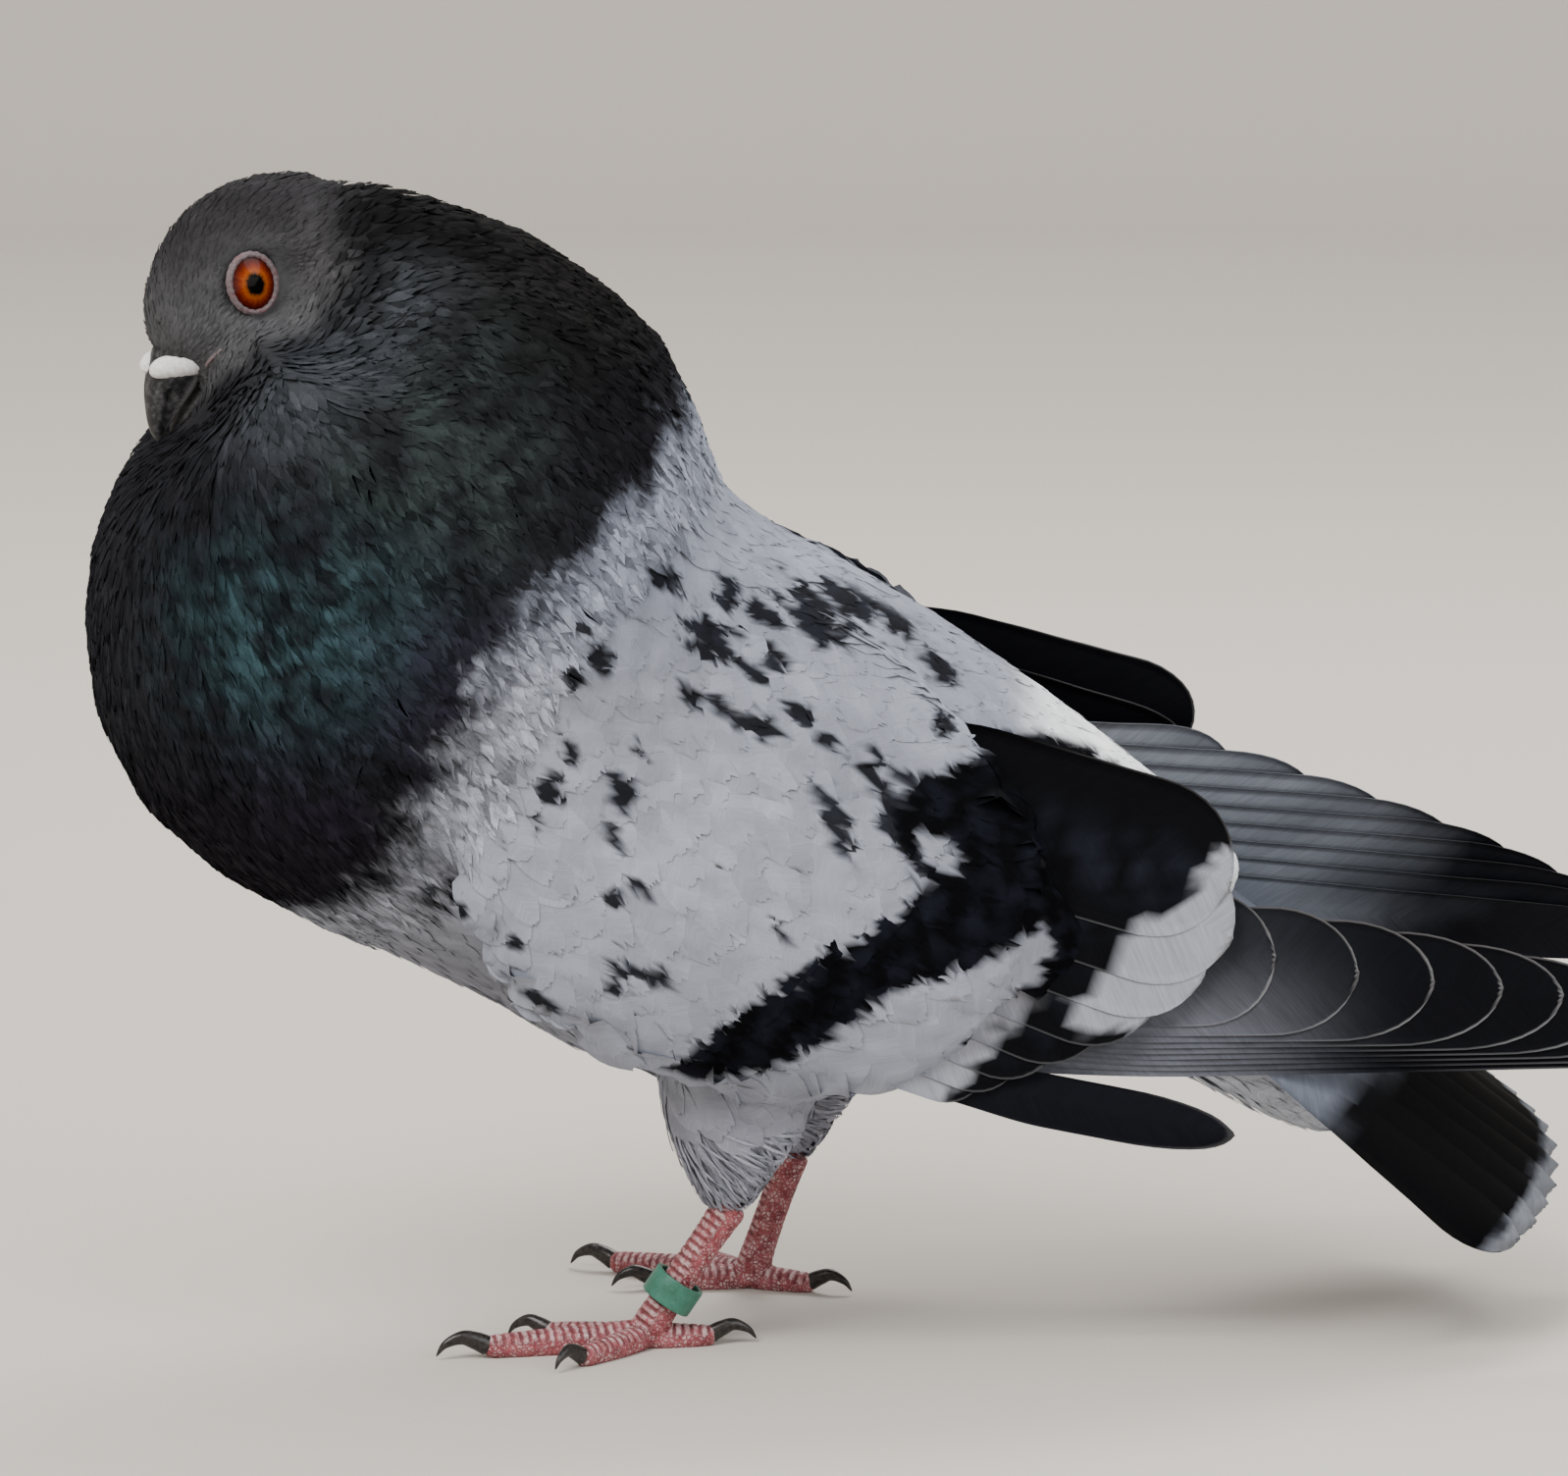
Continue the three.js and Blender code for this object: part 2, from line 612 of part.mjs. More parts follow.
for (const [name, side] of [
  ["left", 1],
  ["right", -1],
]) {
  const foot = FEET[name];
  const legRoom = legOf(foot, side, GAP);
  const wingRoom = moved(armRoom, WINGS[name].matrix);
  const thigh = thighOf(THIGHS[name]).subtract(fleshRoom).subtract(wingRoom).subtract(legRoom);
  add("thigh_" + name, largest(thigh), SILVER);
  add("foot_" + name, largest(legOf(foot, side, 0).subtract(floor)), SKIN_RED, 0.7);
  for (const toe of TOES) {
    add(toe.name + "_claw_" + name, largest(clawOf(foot, toe, side).subtract(legRoom)), HORN, 0.4);
  }
}
add("leg_ring", ringOf(FEET.left), RING_GREEN, 0.45);

// The origin goes to the middle of the footprint, on the floor.
const middle = new THREE.Box3().setFromObject(pigeon).getCenter(vec(0, 0, 0));
pigeon.position.set(-middle.x, -middle.y, 0);

export default pigeon;
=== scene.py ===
"""A domestic pigeon, life size, strutting with its crop blown up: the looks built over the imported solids."""
import math

import bpy
import numpy as np
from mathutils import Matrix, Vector
from mathutils.bvhtree import BVHTree
from mathutils.kdtree import KDTree


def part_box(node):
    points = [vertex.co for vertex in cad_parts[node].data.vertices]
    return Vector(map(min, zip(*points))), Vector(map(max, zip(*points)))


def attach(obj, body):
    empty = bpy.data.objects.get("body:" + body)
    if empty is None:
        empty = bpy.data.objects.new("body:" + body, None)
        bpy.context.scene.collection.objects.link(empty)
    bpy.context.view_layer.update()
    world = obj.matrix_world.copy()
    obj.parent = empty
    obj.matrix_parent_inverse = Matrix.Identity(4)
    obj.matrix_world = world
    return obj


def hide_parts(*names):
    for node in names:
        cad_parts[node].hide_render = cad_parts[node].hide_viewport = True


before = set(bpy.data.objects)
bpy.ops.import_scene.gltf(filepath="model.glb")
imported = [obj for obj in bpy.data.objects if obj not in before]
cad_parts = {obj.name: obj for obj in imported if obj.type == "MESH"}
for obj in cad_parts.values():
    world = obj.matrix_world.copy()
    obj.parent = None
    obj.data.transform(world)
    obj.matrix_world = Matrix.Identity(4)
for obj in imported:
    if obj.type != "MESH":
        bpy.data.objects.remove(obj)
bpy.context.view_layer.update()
random = np.random.default_rng(25)

# ---- Frames, the same as the solids': working millimetres, body frame and head frame ----

BODY_PIVOT = np.array([20.0, 0, 90])
HEAD_PLACE = np.array([-69.3, -17, 190.6])
EYE_PLACE = np.array([0.5, 8.7, -1])


def turn(axis, degrees):
    c, s = math.cos(math.radians(degrees)), math.sin(math.radians(degrees))
    return np.array({
        "x": [[1, 0, 0], [0, c, -s], [0, s, c]],
        "y": [[c, 0, s], [0, 1, 0], [-s, 0, c]],
        "z": [[c, -s, 0], [s, c, 0], [0, 0, 1]],
    }[axis])


BODY_TURN = turn("z", 4) @ turn("x", 12)
HEAD_TURN = turn("z", 22) @ turn("y", -57) @ turn("x", 12)


def from_body(p):
    return (np.asarray(p, float) - BODY_PIVOT) @ BODY_TURN.T + BODY_PIVOT


def to_body(p):
    return (np.asarray(p, float) - BODY_PIVOT) @ BODY_TURN + BODY_PIVOT


def from_head(p):
    return np.asarray(p, float) @ HEAD_TURN.T + HEAD_PLACE


def to_head(p):
    return (np.asarray(p, float) - HEAD_PLACE) @ HEAD_TURN


# The row frame's origin in working millimetres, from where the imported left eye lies.
low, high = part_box("eye_left")
OFFSET = from_head(EYE_PLACE * [1, -1, 1]) - np.array((low + high) / 2) * 1000
OFFSET[2] = 0
MM = 0.001


def to_row(p):
    return (np.asarray(p, float) - OFFSET) * MM


def unit(v):
    return v / np.maximum(np.linalg.norm(v, axis=-1, keepdims=True), 1e-9)


def step(x, low, high):
    t = np.clip((x - low) / (high - low), 0, 1)
    return t * t * (3 - 2 * t)


def mix(a, b, t):
    return a + (b - a) * t


def catmull(points, t):
    """Points on a Catmull-Rom curve at the shares t, each from 0 to 1."""
    p = np.asarray(points, float)
    p = np.vstack([2 * p[0] - p[1], p, 2 * p[-1] - p[-2]])
    t = np.atleast_1d(t)
    x = np.clip(t, 0, 1) * (len(p) - 3)
    i = np.minimum(x.astype(int), len(p) - 4)
    f = (x - i)[:, None]
    a, b, c, d = p[i], p[i + 1], p[i + 2], p[i + 3]
    return 0.5 * (2 * b + (c - a) * f + (2 * a - 5 * b + 4 * c - d) * f**2 + (3 * b - a - 3 * c + d) * f**3)


def smooth_row(values, t):
    return catmull(np.stack([np.asarray(values, float)] * 2, 1), t)[:, 0]


# ---- Mesh objects ----


def mesh_object(name, points, faces, material, smooth=True):
    """A mesh of quads or triangles from working millimetres, riding on the root body."""
    points, faces = to_row(points), np.asarray(faces, np.int32)
    sides = faces.shape[1]
    mesh = bpy.data.meshes.new(name)
    mesh.vertices.add(len(points))
    mesh.vertices.foreach_set("co", points.astype(np.float32).ravel())
    mesh.loops.add(faces.size)
    mesh.loops.foreach_set("vertex_index", faces.ravel())
    mesh.polygons.add(len(faces))
    mesh.polygons.foreach_set("loop_start", np.arange(len(faces), dtype=np.int32) * sides)
    mesh.polygons.foreach_set("use_smooth", np.full(len(faces), smooth))
    mesh.update(calc_edges=True)
    mesh.validate()
    mesh.materials.append(material)
    piece = bpy.data.objects.new(name, mesh)
    bpy.context.scene.collection.objects.link(piece)
    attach(piece, "root")
    return piece


def give(piece, name, kind, values):
    """A point attribute, as colours or as vectors."""
    values = np.asarray(values, np.float32)
    if kind == "FLOAT_COLOR" and values.shape[1] == 3:
        values = np.hstack([values, np.ones((len(values), 1), np.float32)])
    attribute = piece.data.attributes.new(name, kind, "POINT")
    key = {"FLOAT_COLOR": "color", "FLOAT_VECTOR": "vector", "FLOAT": "value"}[kind]
    attribute.data.foreach_set(key, values.ravel())


def give_map(piece, uv):
    """The piece's OFBake map, from one place per point."""
    loops = np.zeros(len(piece.data.loops), np.int32)
    piece.data.loops.foreach_get("vertex_index", loops)
    layer = piece.data.uv_layers.new(name="OFBake")
    layer.data.foreach_set("uv", np.asarray(uv, np.float32)[loops].ravel())


# ---- Materials ----


class Nodes:
    """A short way to write a material's nodes."""

    def __init__(self, name, roughness=0.6):
        self.material = bpy.data.materials.new(name)
        self.material.use_nodes = True
        self.tree = self.material.node_tree
        self.tree.nodes.clear()
        self.out = self.tree.nodes.new("ShaderNodeOutputMaterial")
        self.shader = self.tree.nodes.new("ShaderNodeBsdfPrincipled")
        self.shader.inputs["Roughness"].default_value = roughness
        self.link(self.shader.outputs[0], self.out.inputs[0])

    def link(self, a, b):
        self.tree.links.new(a, b)

    def set(self, socket, value):
        if isinstance(value, bpy.types.NodeSocket):
            self.link(value, socket)
        else:
            socket.default_value = value

    def add(self, kind, inputs=(), output=0, **settings):
        node = self.tree.nodes.new("ShaderNode" + kind)
        for key, value in settings.items():
            setattr(node, key, value)
        for key, value in dict(inputs).items():
            self.set(node.inputs[key], value)
        return node.outputs[output]

    def attribute(self, name, output="Color"):
        return self.add("Attribute", output=output, attribute_name=name)

    def math(self, operation, a, b=0.0):
        return self.add("Math", {0: a, 1: b}, operation=operation)

    def mixed(self, factor, a, b, blend="MIX"):
        node = self.tree.nodes.new("ShaderNodeMix")
        node.data_type, node.blend_type = "RGBA", blend
        self.set(node.inputs[0], factor)
        self.set(node.inputs[6], a)
        self.set(node.inputs[7], b)
        return node.outputs[2]

    def ranged(self, value, low, high, to_low=0.0, to_high=1.0):
        inputs = {"Value": value, "From Min": low, "From Max": high, "To Min": to_low, "To Max": to_high}
        return self.add("MapRange", inputs)

    def noise(self, vector, scale, detail=2.0, rough=0.5):
        inputs = {"Vector": vector, "Scale": scale, "Detail": detail, "Roughness": rough}
        return self.add("TexNoise", inputs, "Fac")

    def bump(self, height, strength, distance):
        normal = self.add("Bump", {"Height": height, "Strength": strength, "Distance": distance}, "Normal")
        self.link(normal, self.shader.inputs["Normal"])

    def place(self):
        """Where a point lies on the still model, in metres."""
        return self.add("TexCoord", output="Object")


def feather_material(name, roughness, gloss, barb=1.0, contrast=1.0, fringe=False):
    """Vanes: colours from the markings, barbs that slant from the shaft, from each feather's own measure."""
    n = Nodes(name, roughness)
    across, along, seed = (
        n.add("SeparateXYZ", {0: n.attribute("vane", "Vector")}, i) for i in range(3)
    )
    slant = n.math("SUBTRACT", along, n.math("MULTIPLY", n.math("ABSOLUTE", across), 0.9))
    barbs = n.add("CombineXYZ", {
        0: n.math("MULTIPLY", slant, 2.6 * barb), 1: n.math("MULTIPLY", across, 0.22), 2: seed,
    })
    fine = n.noise(barbs, 1.0, 3.0, 0.6)
    wide = n.noise(n.add("CombineXYZ", {
        0: n.math("MULTIPLY", slant, 0.5), 1: n.math("MULTIPLY", across, 0.12), 2: seed,
    }), 1.0, 2.0)
    colour = n.attribute("tint")
    shade = n.math(
        "MULTIPLY",
        n.ranged(fine, 0.25, 0.75, 1 - 0.22 * contrast, 1 + 0.18 * contrast),
        n.ranged(wide, 0.3, 0.7, 1 - 0.10 * contrast, 1 + 0.08 * contrast),
    )
    grey = n.add("CombineColor", {0: shade, 1: shade, 2: shade})
    colour = n.mixed(1.0, colour, grey, "MULTIPLY")
    if fringe:
        # A pale edge where the distance to the feather's outline is small.
        gap, strength, _ = (n.add("SeparateXYZ", {0: n.attribute("edge", "Vector")}, i) for i in range(3))
        line = n.math("MULTIPLY", n.ranged(gap, 0.42, 0.14), strength)
        colour = n.mixed(line, colour, (0.20, 0.20, 0.21, 1))
    n.link(colour, n.shader.inputs["Base Color"])
    n.bump(fine, 0.3, 0.0002)
    n.shader.inputs["Specular IOR Level"].default_value = gloss
    return n.material


def skin_material():
    """The skin between the feathers, with the same markings, a little darker and mottled."""
    n = Nodes("skin", 0.85)
    mottle = n.ranged(n.noise(n.place(), 900.0, 3.0), 0.3, 0.7, 0.8, 1.0)
    grey = n.add("CombineColor", {0: mottle, 1: mottle, 2: mottle})
    n.link(n.mixed(1.0, n.attribute("tint"), grey, "MULTIPLY"), n.shader.inputs["Base Color"])
    n.bump(n.noise(n.place(), 1400.0, 3.0), 0.5, 0.0004)
    n.shader.inputs["Specular IOR Level"].default_value = 0.2
    return n.material


# ---- Markings, in the body frame, the left wing's side mirrored for the right ----

# The edge between the dark neck and the grey body: height, and how far back the dark reaches there.
COLLAR = np.array([
    (60, -75), (76, -62), (85, -55), (95, -43), (106, -38), (122, -31), (134, -26), (146, -18),
    (156, -9), (162, 0), (170, 10), (200, 30),
], float)
# Outlines on the folded wing, seen square from its side: how far back, and how high. Many points of these
# lists and of COLLAR, and the places of half the flecks, are a tracing: picked in the photograph, cast onto
# the solids by a scratch program and typed in. They are no example to follow.
BAR_FRONT = [
    (72, 113), (60, 115.5), (46, 112), (43, 106), (46, 100), (50, 97), (42, 91), (33, 87), (23, 80),
    (13, 73), (4, 64), (11, 62), (22, 64), (32, 70), (42, 77), (49, 80), (59, 82), (68, 86), (74, 88),
    (77, 95), (83, 101), (84, 107), (78, 110),
]
BAR_REAR = [
    (68, 99), (73, 103), (79, 104), (88, 106), (98, 99), (101, 94), (99, 90), (91, 85), (87, 86), (85, 80),
    (82, 75), (76, 72), (63, 72), (67, 76), (72, 81), (71, 90),
]
WING_DARK_TIPS = [(56, 62), (60, 60), (66, 57), (80, 62), (80, 71), (72, 72), (62, 71), (57, 67)]
# The pale ends of the innermost long feathers, and the pale stripe of the great coverts.
TERTIAL_PALE = [
    (112, 95), (111, 80), (104, 74), (93, 68), (76, 67), (77, 73), (81, 76), (84, 79), (85, 82), (88, 85),
    (93, 86), (97, 89), (99, 92), (102, 96),
]
STRIPE_PALE = [
    (2, 60), (8, 62), (20, 62.5), (31, 67), (36, 71), (44, 77.5), (53, 79), (61, 83), (69, 86), (77, 83),
    (73, 77), (65, 69), (57, 60), (50, 55), (20, 50), (4, 52),
]
WING_PALE_GAP = [(47, 105), (54, 104), (57, 100), (53, 98), (48, 99)]
# Dark flecks: back, height, length, width, and the slope of the length in degrees below level.
FLECKS = [
    (4, 148, 5, 4, 40), (16, 142, 6, 4, 45), (12, 137, 11, 6, 40), (31, 137, 12, 5, 35),
    (22, 139, 9, 3, 35), (38, 137, 12, 4, 32), (46, 133, 9, 4, 35), (9, 128, 7, 3.5, 45),
    (15, 125, 8, 4, 42), (21, 122, 7, 4, 40), (20, 130, 4, 3, 40), (28, 124, 5, 3, 30),
    (33, 119, 5, 2.5, 35), (-7, 137, 5, 4, 60), (-13, 150, 5, 4, 45), (-13, 121, 5, 3.5, 75),
    (-16, 115, 6, 5, 60), (-18, 110, 6, 2.5, 75), (-3, 113, 7, 5, 70), (-5, 107, 5, 3, 60),
    (-1, 98, 8, 2.5, 45), (-5, 96, 4, 3, 60), (-4, 82, 7, 4, 120), (2, 82, 6, 3.5, 30), (54, 125, 8, 3, 45),
    (61, 129, 12, 3.5, 40), (53, 120, 4, 3, 50), (24, 91, 4, 2.5, 80), (-31, 93, 5, 4, 60),
    (-37, 92, 6, 5, 60), (-22, 144, 6, 4, 60), (-17, 77, 9, 2.5, 30), (-10, 143, 3, 2, 45),
    (34, 107, 13, 4, 66), (44, 107, 19, 5.5, 63), (41, 115, 8, 2, 15), (-22, 88, 4, 2.5, 50),
    (6, 147, 4, 3, 30), (24, 132, 5, 3, 35), (0, 120, 3.5, 2, 60), (47, 113, 4, 2, 40),
    (30, 146, 9, 2.5, 40), (38, 143, 8, 2.5, 38), (-12, 134, 4, 2.5, 60),
]


def outline_depth(outline, x, z):
    """How far points lie inside a closed outline, negative outside."""
    a = np.asarray(outline, float)
    b = np.roll(a, -1, axis=0)
    nearest = np.full(x.shape, 1e9)
    inside = np.zeros(x.shape, bool)
    for (ax, az), (bx, bz) in zip(a, b):
        ex, ez = bx - ax, bz - az
        t = np.clip(((x - ax) * ex + (z - az) * ez) / (ex * ex + ez * ez), 0, 1)
        nearest = np.minimum(nearest, np.hypot(x - ax - t * ex, z - az - t * ez))
        crosses = (az > z) != (bz > z)
        inside ^= crosses & (x < ax + (z - az) * ex / (ez if abs(ez) > 1e-9 else 1e-9))
    return np.where(inside, nearest, -nearest)


def fleck_depth(x, z):
    """Above zero inside a fleck, 1 in its middle."""
    most = np.full(x.shape, -1e9)
    for fx, fz, length, width, slope in FLECKS:
        c, s = math.cos(math.radians(slope)), math.sin(math.radians(slope))
        u, v = (x - fx) * c - (z - fz) * s, (x - fx) * s + (z - fz) * c
        most = np.maximum(most, 1 - np.hypot(u / (length / 2), v / (width / 2)))
    return most


def collar_depth(b):
    """How far points of the body frame lie in front of the neck's rear edge."""
    return np.interp(b[:, 2], COLLAR[:, 0], COLLAR[:, 1]) - b[:, 0]


def lumps(p, size, seed):
    """A smooth random field from -1 to 1, from a few turned waves of about the given size."""
    field = np.zeros(len(p))
    source = np.random.default_rng(seed)
    for k in range(7):
        way = source.normal(size=3)
        way *= 2 * math.pi / (size * (0.7 + 0.9 * source.random()) * np.linalg.norm(way))
        field += np.sin(p @ way + source.random() * 2 * math.pi)
    return field / 3.2


WHITE_RUMP = np.array([0.86, 0.89, 0.93])
SILVER = np.array([0.245, 0.262, 0.315])
SHOULDER_BLUE = np.array([0.20, 0.225, 0.29])
THIGH_GREY = np.array([0.26, 0.27, 0.325])
BLACK = np.array([0.0022, 0.0023, 0.0032])
HEAD_GREY = np.array([0.072, 0.073, 0.078])
CROWN = np.array([0.024, 0.023, 0.025])
NAPE = np.array([0.0040, 0.0036, 0.0038])
CROP = np.array([0.0066, 0.0062, 0.0086])
# Painted sheen: the front of the crop, lighter where it catches the light.
CROP_PAINTED_SHEEN = np.array([0.0125, 0.0128, 0.016])
# The neck's iridescent colours, painted in fixed patches as its sheen; the green-grey is painted sheen.
GREEN = np.array([0.027, 0.058, 0.068])
GREEN_GREY = np.array([0.021, 0.028, 0.028])
PURPLE = np.array([0.018, 0.013, 0.026])
CHEEK = np.array([0.033, 0.037, 0.043])
BREAST_GREY = np.array([0.13, 0.135, 0.155])


def spot(p, centre, radius):
    return np.exp(-np.sum((p - np.asarray(centre, float)) ** 2, 1) / (2 * radius * radius))


def both_sides(p, x, y, z, radius):
    return np.maximum(spot(p, (x, y, z), radius), spot(p, (x, -y, z), radius))


def blend(colour, other, share):
    return colour + (other - colour) * share[:, None]


def plumage(p, marks_at=None):
    """The plumage's colour at points in working millimetres. marks_at is where the wing's marks are read."""
    b, h = to_body(p), to_head(p)
    m = b if marks_at is None else to_body(marks_at)
    # Body
    colour = np.tile(SILVER, (len(p), 1))
    colour = blend(colour, SHOULDER_BLUE, 0.75 * step(b[:, 2], 128, 150) * step(-b[:, 0], -45, 10))
    colour = blend(colour, THIGH_GREY, step(-b[:, 2], -60, -46) * 0.95)
    colour = blend(colour, BREAST_GREY, 0.6 * step(-b[:, 2], -84, -70) * step(-b[:, 0], 0, 30))
    rump = step(b[:, 0], 66, 76) * step(b[:, 2] + 0.75 * b[:, 0], 145, 158) * step(-np.abs(b[:, 1]), -24, -16)
    colour = blend(colour, WHITE_RUMP, rump)
    colour = blend(colour, np.array([0.42, 0.45, 0.52]), step(b[:, 0], 78, 100) * step(-b[:, 2], -72, -60))
    colour = colour * (1 + 0.10 * lumps(p, 30, 3) + 0.09 * lumps(p * [0.6, 1, 1], 5, 33))[:, None]
    # Marks on the wings and the mantle
    x, z = m[:, 0], m[:, 2]
    on_side = np.where(m[:, 1] < 0, 1.0, 0.97)
    black = step(outline_depth(BAR_FRONT, x, z), -0.5, 0.7)
    black = np.maximum(black, step(outline_depth(BAR_REAR, x, z), -0.5, 0.7))
    black = np.maximum(black, step(outline_depth(WING_DARK_TIPS, x, z), -0.4, 0.6))
    black *= 1 - step(outline_depth(WING_PALE_GAP, x, z), 0.3, 1.3)
    far = step(m[:, 1], 20, 25) * step(x, 16, 24) * step(z, 103, 110) * step(-np.abs(z - 150), -60, -10)
    fleck = step(fleck_depth(x, z) + 0.4 * lumps(m, 3, 8) + 0.2 * lumps(m, 8, 9), -0.15, 0.2)
    fleck *= np.where(m[:, 1] > 0, step(-z, -118, -108), 1.0)
    black = np.maximum(black, np.maximum(0.96 * fleck, far)) * on_side
    black *= step(np.abs(m[:, 1]), 4, 9) * (1 - step(-z, -60, -54) * step(-np.abs(m[:, 1]), -46, -40))
    black *= step(x - 0.5 * z, -90, -80)
    # Painted sheen: black feathers lighter slate-blue in patches, standing in for their gloss.
    painted_sheen = np.clip(0.35 + 1.1 * lumps(m * [1, 1, 1.4], 6, 51) + 0.4 * lumps(m, 2.5, 53), 0, 1.5)[:, None]
    colour = blend(colour, BLACK * (0.75 + [1.5, 1.65, 2.1] * painted_sheen), np.clip(black, 0, 1))
    # Neck and crop. The green and purple are the neck's own iridescence, painted in fixed patches where its
    # sheen shows; the green-grey is painted sheen, and the crop's front is painted lighter as sheen.
    neck = blend(np.tile(CROP, (len(p), 1)), CROP_PAINTED_SHEEN, step(-b[:, 0], 70, 92) * step(b[:, 2], 95, 130))
    neck = blend(neck, NAPE, step(b[:, 2], 165, 190) * step(b[:, 0], -60, -40))
    patch = np.clip(0.5 + 0.5 * lumps(p, 13, 5) + 0.55 * lumps(p * [1, 1, 1.5], 4.5, 61), 0, 1.3)
    green = both_sides(b, -62, 46, 138, 13) + 0.8 * both_sides(b, -43, 50, 152, 9)
    green = green + 0.5 * both_sides(b, -50, 48, 141, 9)
    neck = blend(neck, GREEN, np.clip(green * (0.10 + 0.90 * patch) * step(b[:, 2], 92, 112), 0, 1))
    # Painted sheen: green-grey gloss high on the neck.
    sheen = both_sides(b, -37, 39, 180, 15) + 0.6 * both_sides(b, -32, 46, 160, 12)
    neck = blend(neck, GREEN_GREY, np.clip(sheen * (0.15 + 0.85 * patch), 0, 0.9))
    cheek = np.maximum(spot(b, (-61, -30, 180), 9), spot(b, (-61, 26, 182), 9))
    cheek = np.maximum(cheek, np.maximum(spot(b, (-52, -19, 188), 11), spot(b, (-42, -15, 194), 7)))
    neck = blend(neck, CHEEK, np.clip(1.25 * cheek, 0, 1))
    purple = both_sides(b, -33, 50, 136, 12) + 0.7 * both_sides(b, -60, 42, 112, 14)
    neck = blend(neck, PURPLE, np.clip(0.7 * purple * patch, 0, 0.7))
    dark = step(collar_depth(b) + 3.0 * lumps(p, 12, 4) + 2.6 * lumps(p * [1, 1, 0.6], 2.2, 41), -6.5, 5.5)
    colour = blend(colour, neck, dark)
    # Head
    head = blend(np.tile(HEAD_GREY, (len(p), 1)), CROWN, 0.95 * step(0.8 * h[:, 2] + 0.6 * h[:, 0], -3, 12))
    head = head * (1 + 0.10 * lumps(p, 6, 6))[:, None]
    reach = np.linalg.norm((h - [3, 0, -4]) / [1.3, 1.0, 1.1], axis=1) + 1.5 * lumps(p, 9, 7)
    share = step(-reach, mix(-25, -32, step(h[:, 2], 0, 8)), -15)
    return blend(colour, head, share)


# ---- The skin: flesh nodes and both wing shields as one body, a coat's depth inside the solids ----


def node_mesh(name):
    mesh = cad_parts[name].data
    points = np.zeros(len(mesh.vertices) * 3, np.float32)
    mesh.vertices.foreach_get("co", points)
    mesh.calc_loop_triangles()
    faces = np.zeros(len(mesh.loop_triangles) * 3, np.int32)
    mesh.loop_triangles.foreach_get("vertices", faces)
    return points.reshape(-1, 3).astype(float) / MM + OFFSET, faces.reshape(-1, 3)


def welded(points, faces):
    """The same mesh with its doubled points joined."""
    _, first, index = np.unique(np.round(points, 3), axis=0, return_index=True, return_inverse=True)
    return points[first], index.reshape(-1)[faces]


def volume_of(points, faces):
    """Above zero where the faces of a closed mesh look outward, by their first three corners."""
    a, b, c = (points[faces[:, i]] for i in range(3))
    return np.einsum("ij,ij->i", a, np.cross(b, c)).sum()


def normals_of(points, faces):
    a, b, c = points[faces[:, 0]], points[faces[:, 1]], points[faces[:, 2]]
    face = np.cross(b - a, c - a)
    if faces.shape[1] == 4:
        d = points[faces[:, 3]]
        face = face + np.cross(c - a, d - a)
    out = np.zeros_like(points)
    for i in range(faces.shape[1]):
        np.add.at(out, faces[:, i], face)
    return unit(out)


COVERT_UPPER = [
    (4, -22, 157), (22, -13, 145.5), (42, -14, 135), (58, -19, 122.5), (70, -25, 111.5), (78, -30, 103),
]
COVERT_LOWER = [
    (-38, -43, 90), (-26, -43, 74), (-6, -43, 63.5), (18, -42, 56), (40, -42, 54.5), (60, -42, 66),
]
COVERT_BULGE = 22
COVERT_DEPTH = 16
SHOULDER = np.array([-10.0, 0, 120])
RIGHT_WING_TURN = turn("y", -0.7)


def shield():
    """The closed body of the left wing's coverts, in the body frame."""
    along, across = 40, 24
    u = np.linspace(0, 1, along + 1)
    top, low = catmull(COVERT_UPPER, u), catmull(COVERT_LOWER, u)
    rings = []
    for v in np.linspace(0, 1, across + 1):
        p = mix(top, low, v)
        crown = math.sin(math.pi * mix(0.05, 0.96, v)) ** 0.55
        p[:, 1] -= COVERT_BULGE * crown * np.sin(np.pi * mix(0.2, 0.84, u))
        rings.append(p)
    for v in np.linspace(1, 0, across + 1):
        p = mix(top, low, v)
        crown = math.sin(math.pi * mix(0.05, 0.96, v)) ** 0.55
        p[:, 1] += 1 + COVERT_DEPTH * math.sin(math.pi * v) * np.sin(np.pi * mix(0.1, 0.95, u))
        p[:, 1] -= COVERT_BULGE * crown * np.sin(np.pi * mix(0.2, 0.84, u))
        rings.append(p)
    points = np.stack(rings, 1)
    rows, count = points.shape[:2]
    faces = []
    for r in range(rows - 1):
        i = np.arange(count)
        j = (i + 1) % count
        faces.append(np.stack([r * count + i, (r + 1) * count + i, (r + 1) * count + j, r * count + j], 1))
    quads = np.vstack(faces)
    triangles = np.vstack([quads[:, :3], quads[:, [0, 2, 3]]])
    points = points.reshape(-1, 3)
    ends = []
    for r, order in ((0, 1), (rows - 1, -1)):
        middle = len(points)
        points = np.vstack([points, points[r * count:(r + 1) * count].mean(0)])
        i = np.arange(count)
        cap = np.stack([np.full(count, middle), r * count + i, r * count + (i + 1) % count], 1)
        ends.append(cap[:, ::order])
    return points, np.vstack([triangles, *ends])


def right_wing(b):
    """Takes body-frame points of the left wing to the right wing, which is held a little higher."""
    return (np.asarray(b, float) * [1, -1, 1] - SHOULDER) @ RIGHT_WING_TURN.T + SHOULDER


def flipped(faces):
    return faces[:, ::-1]


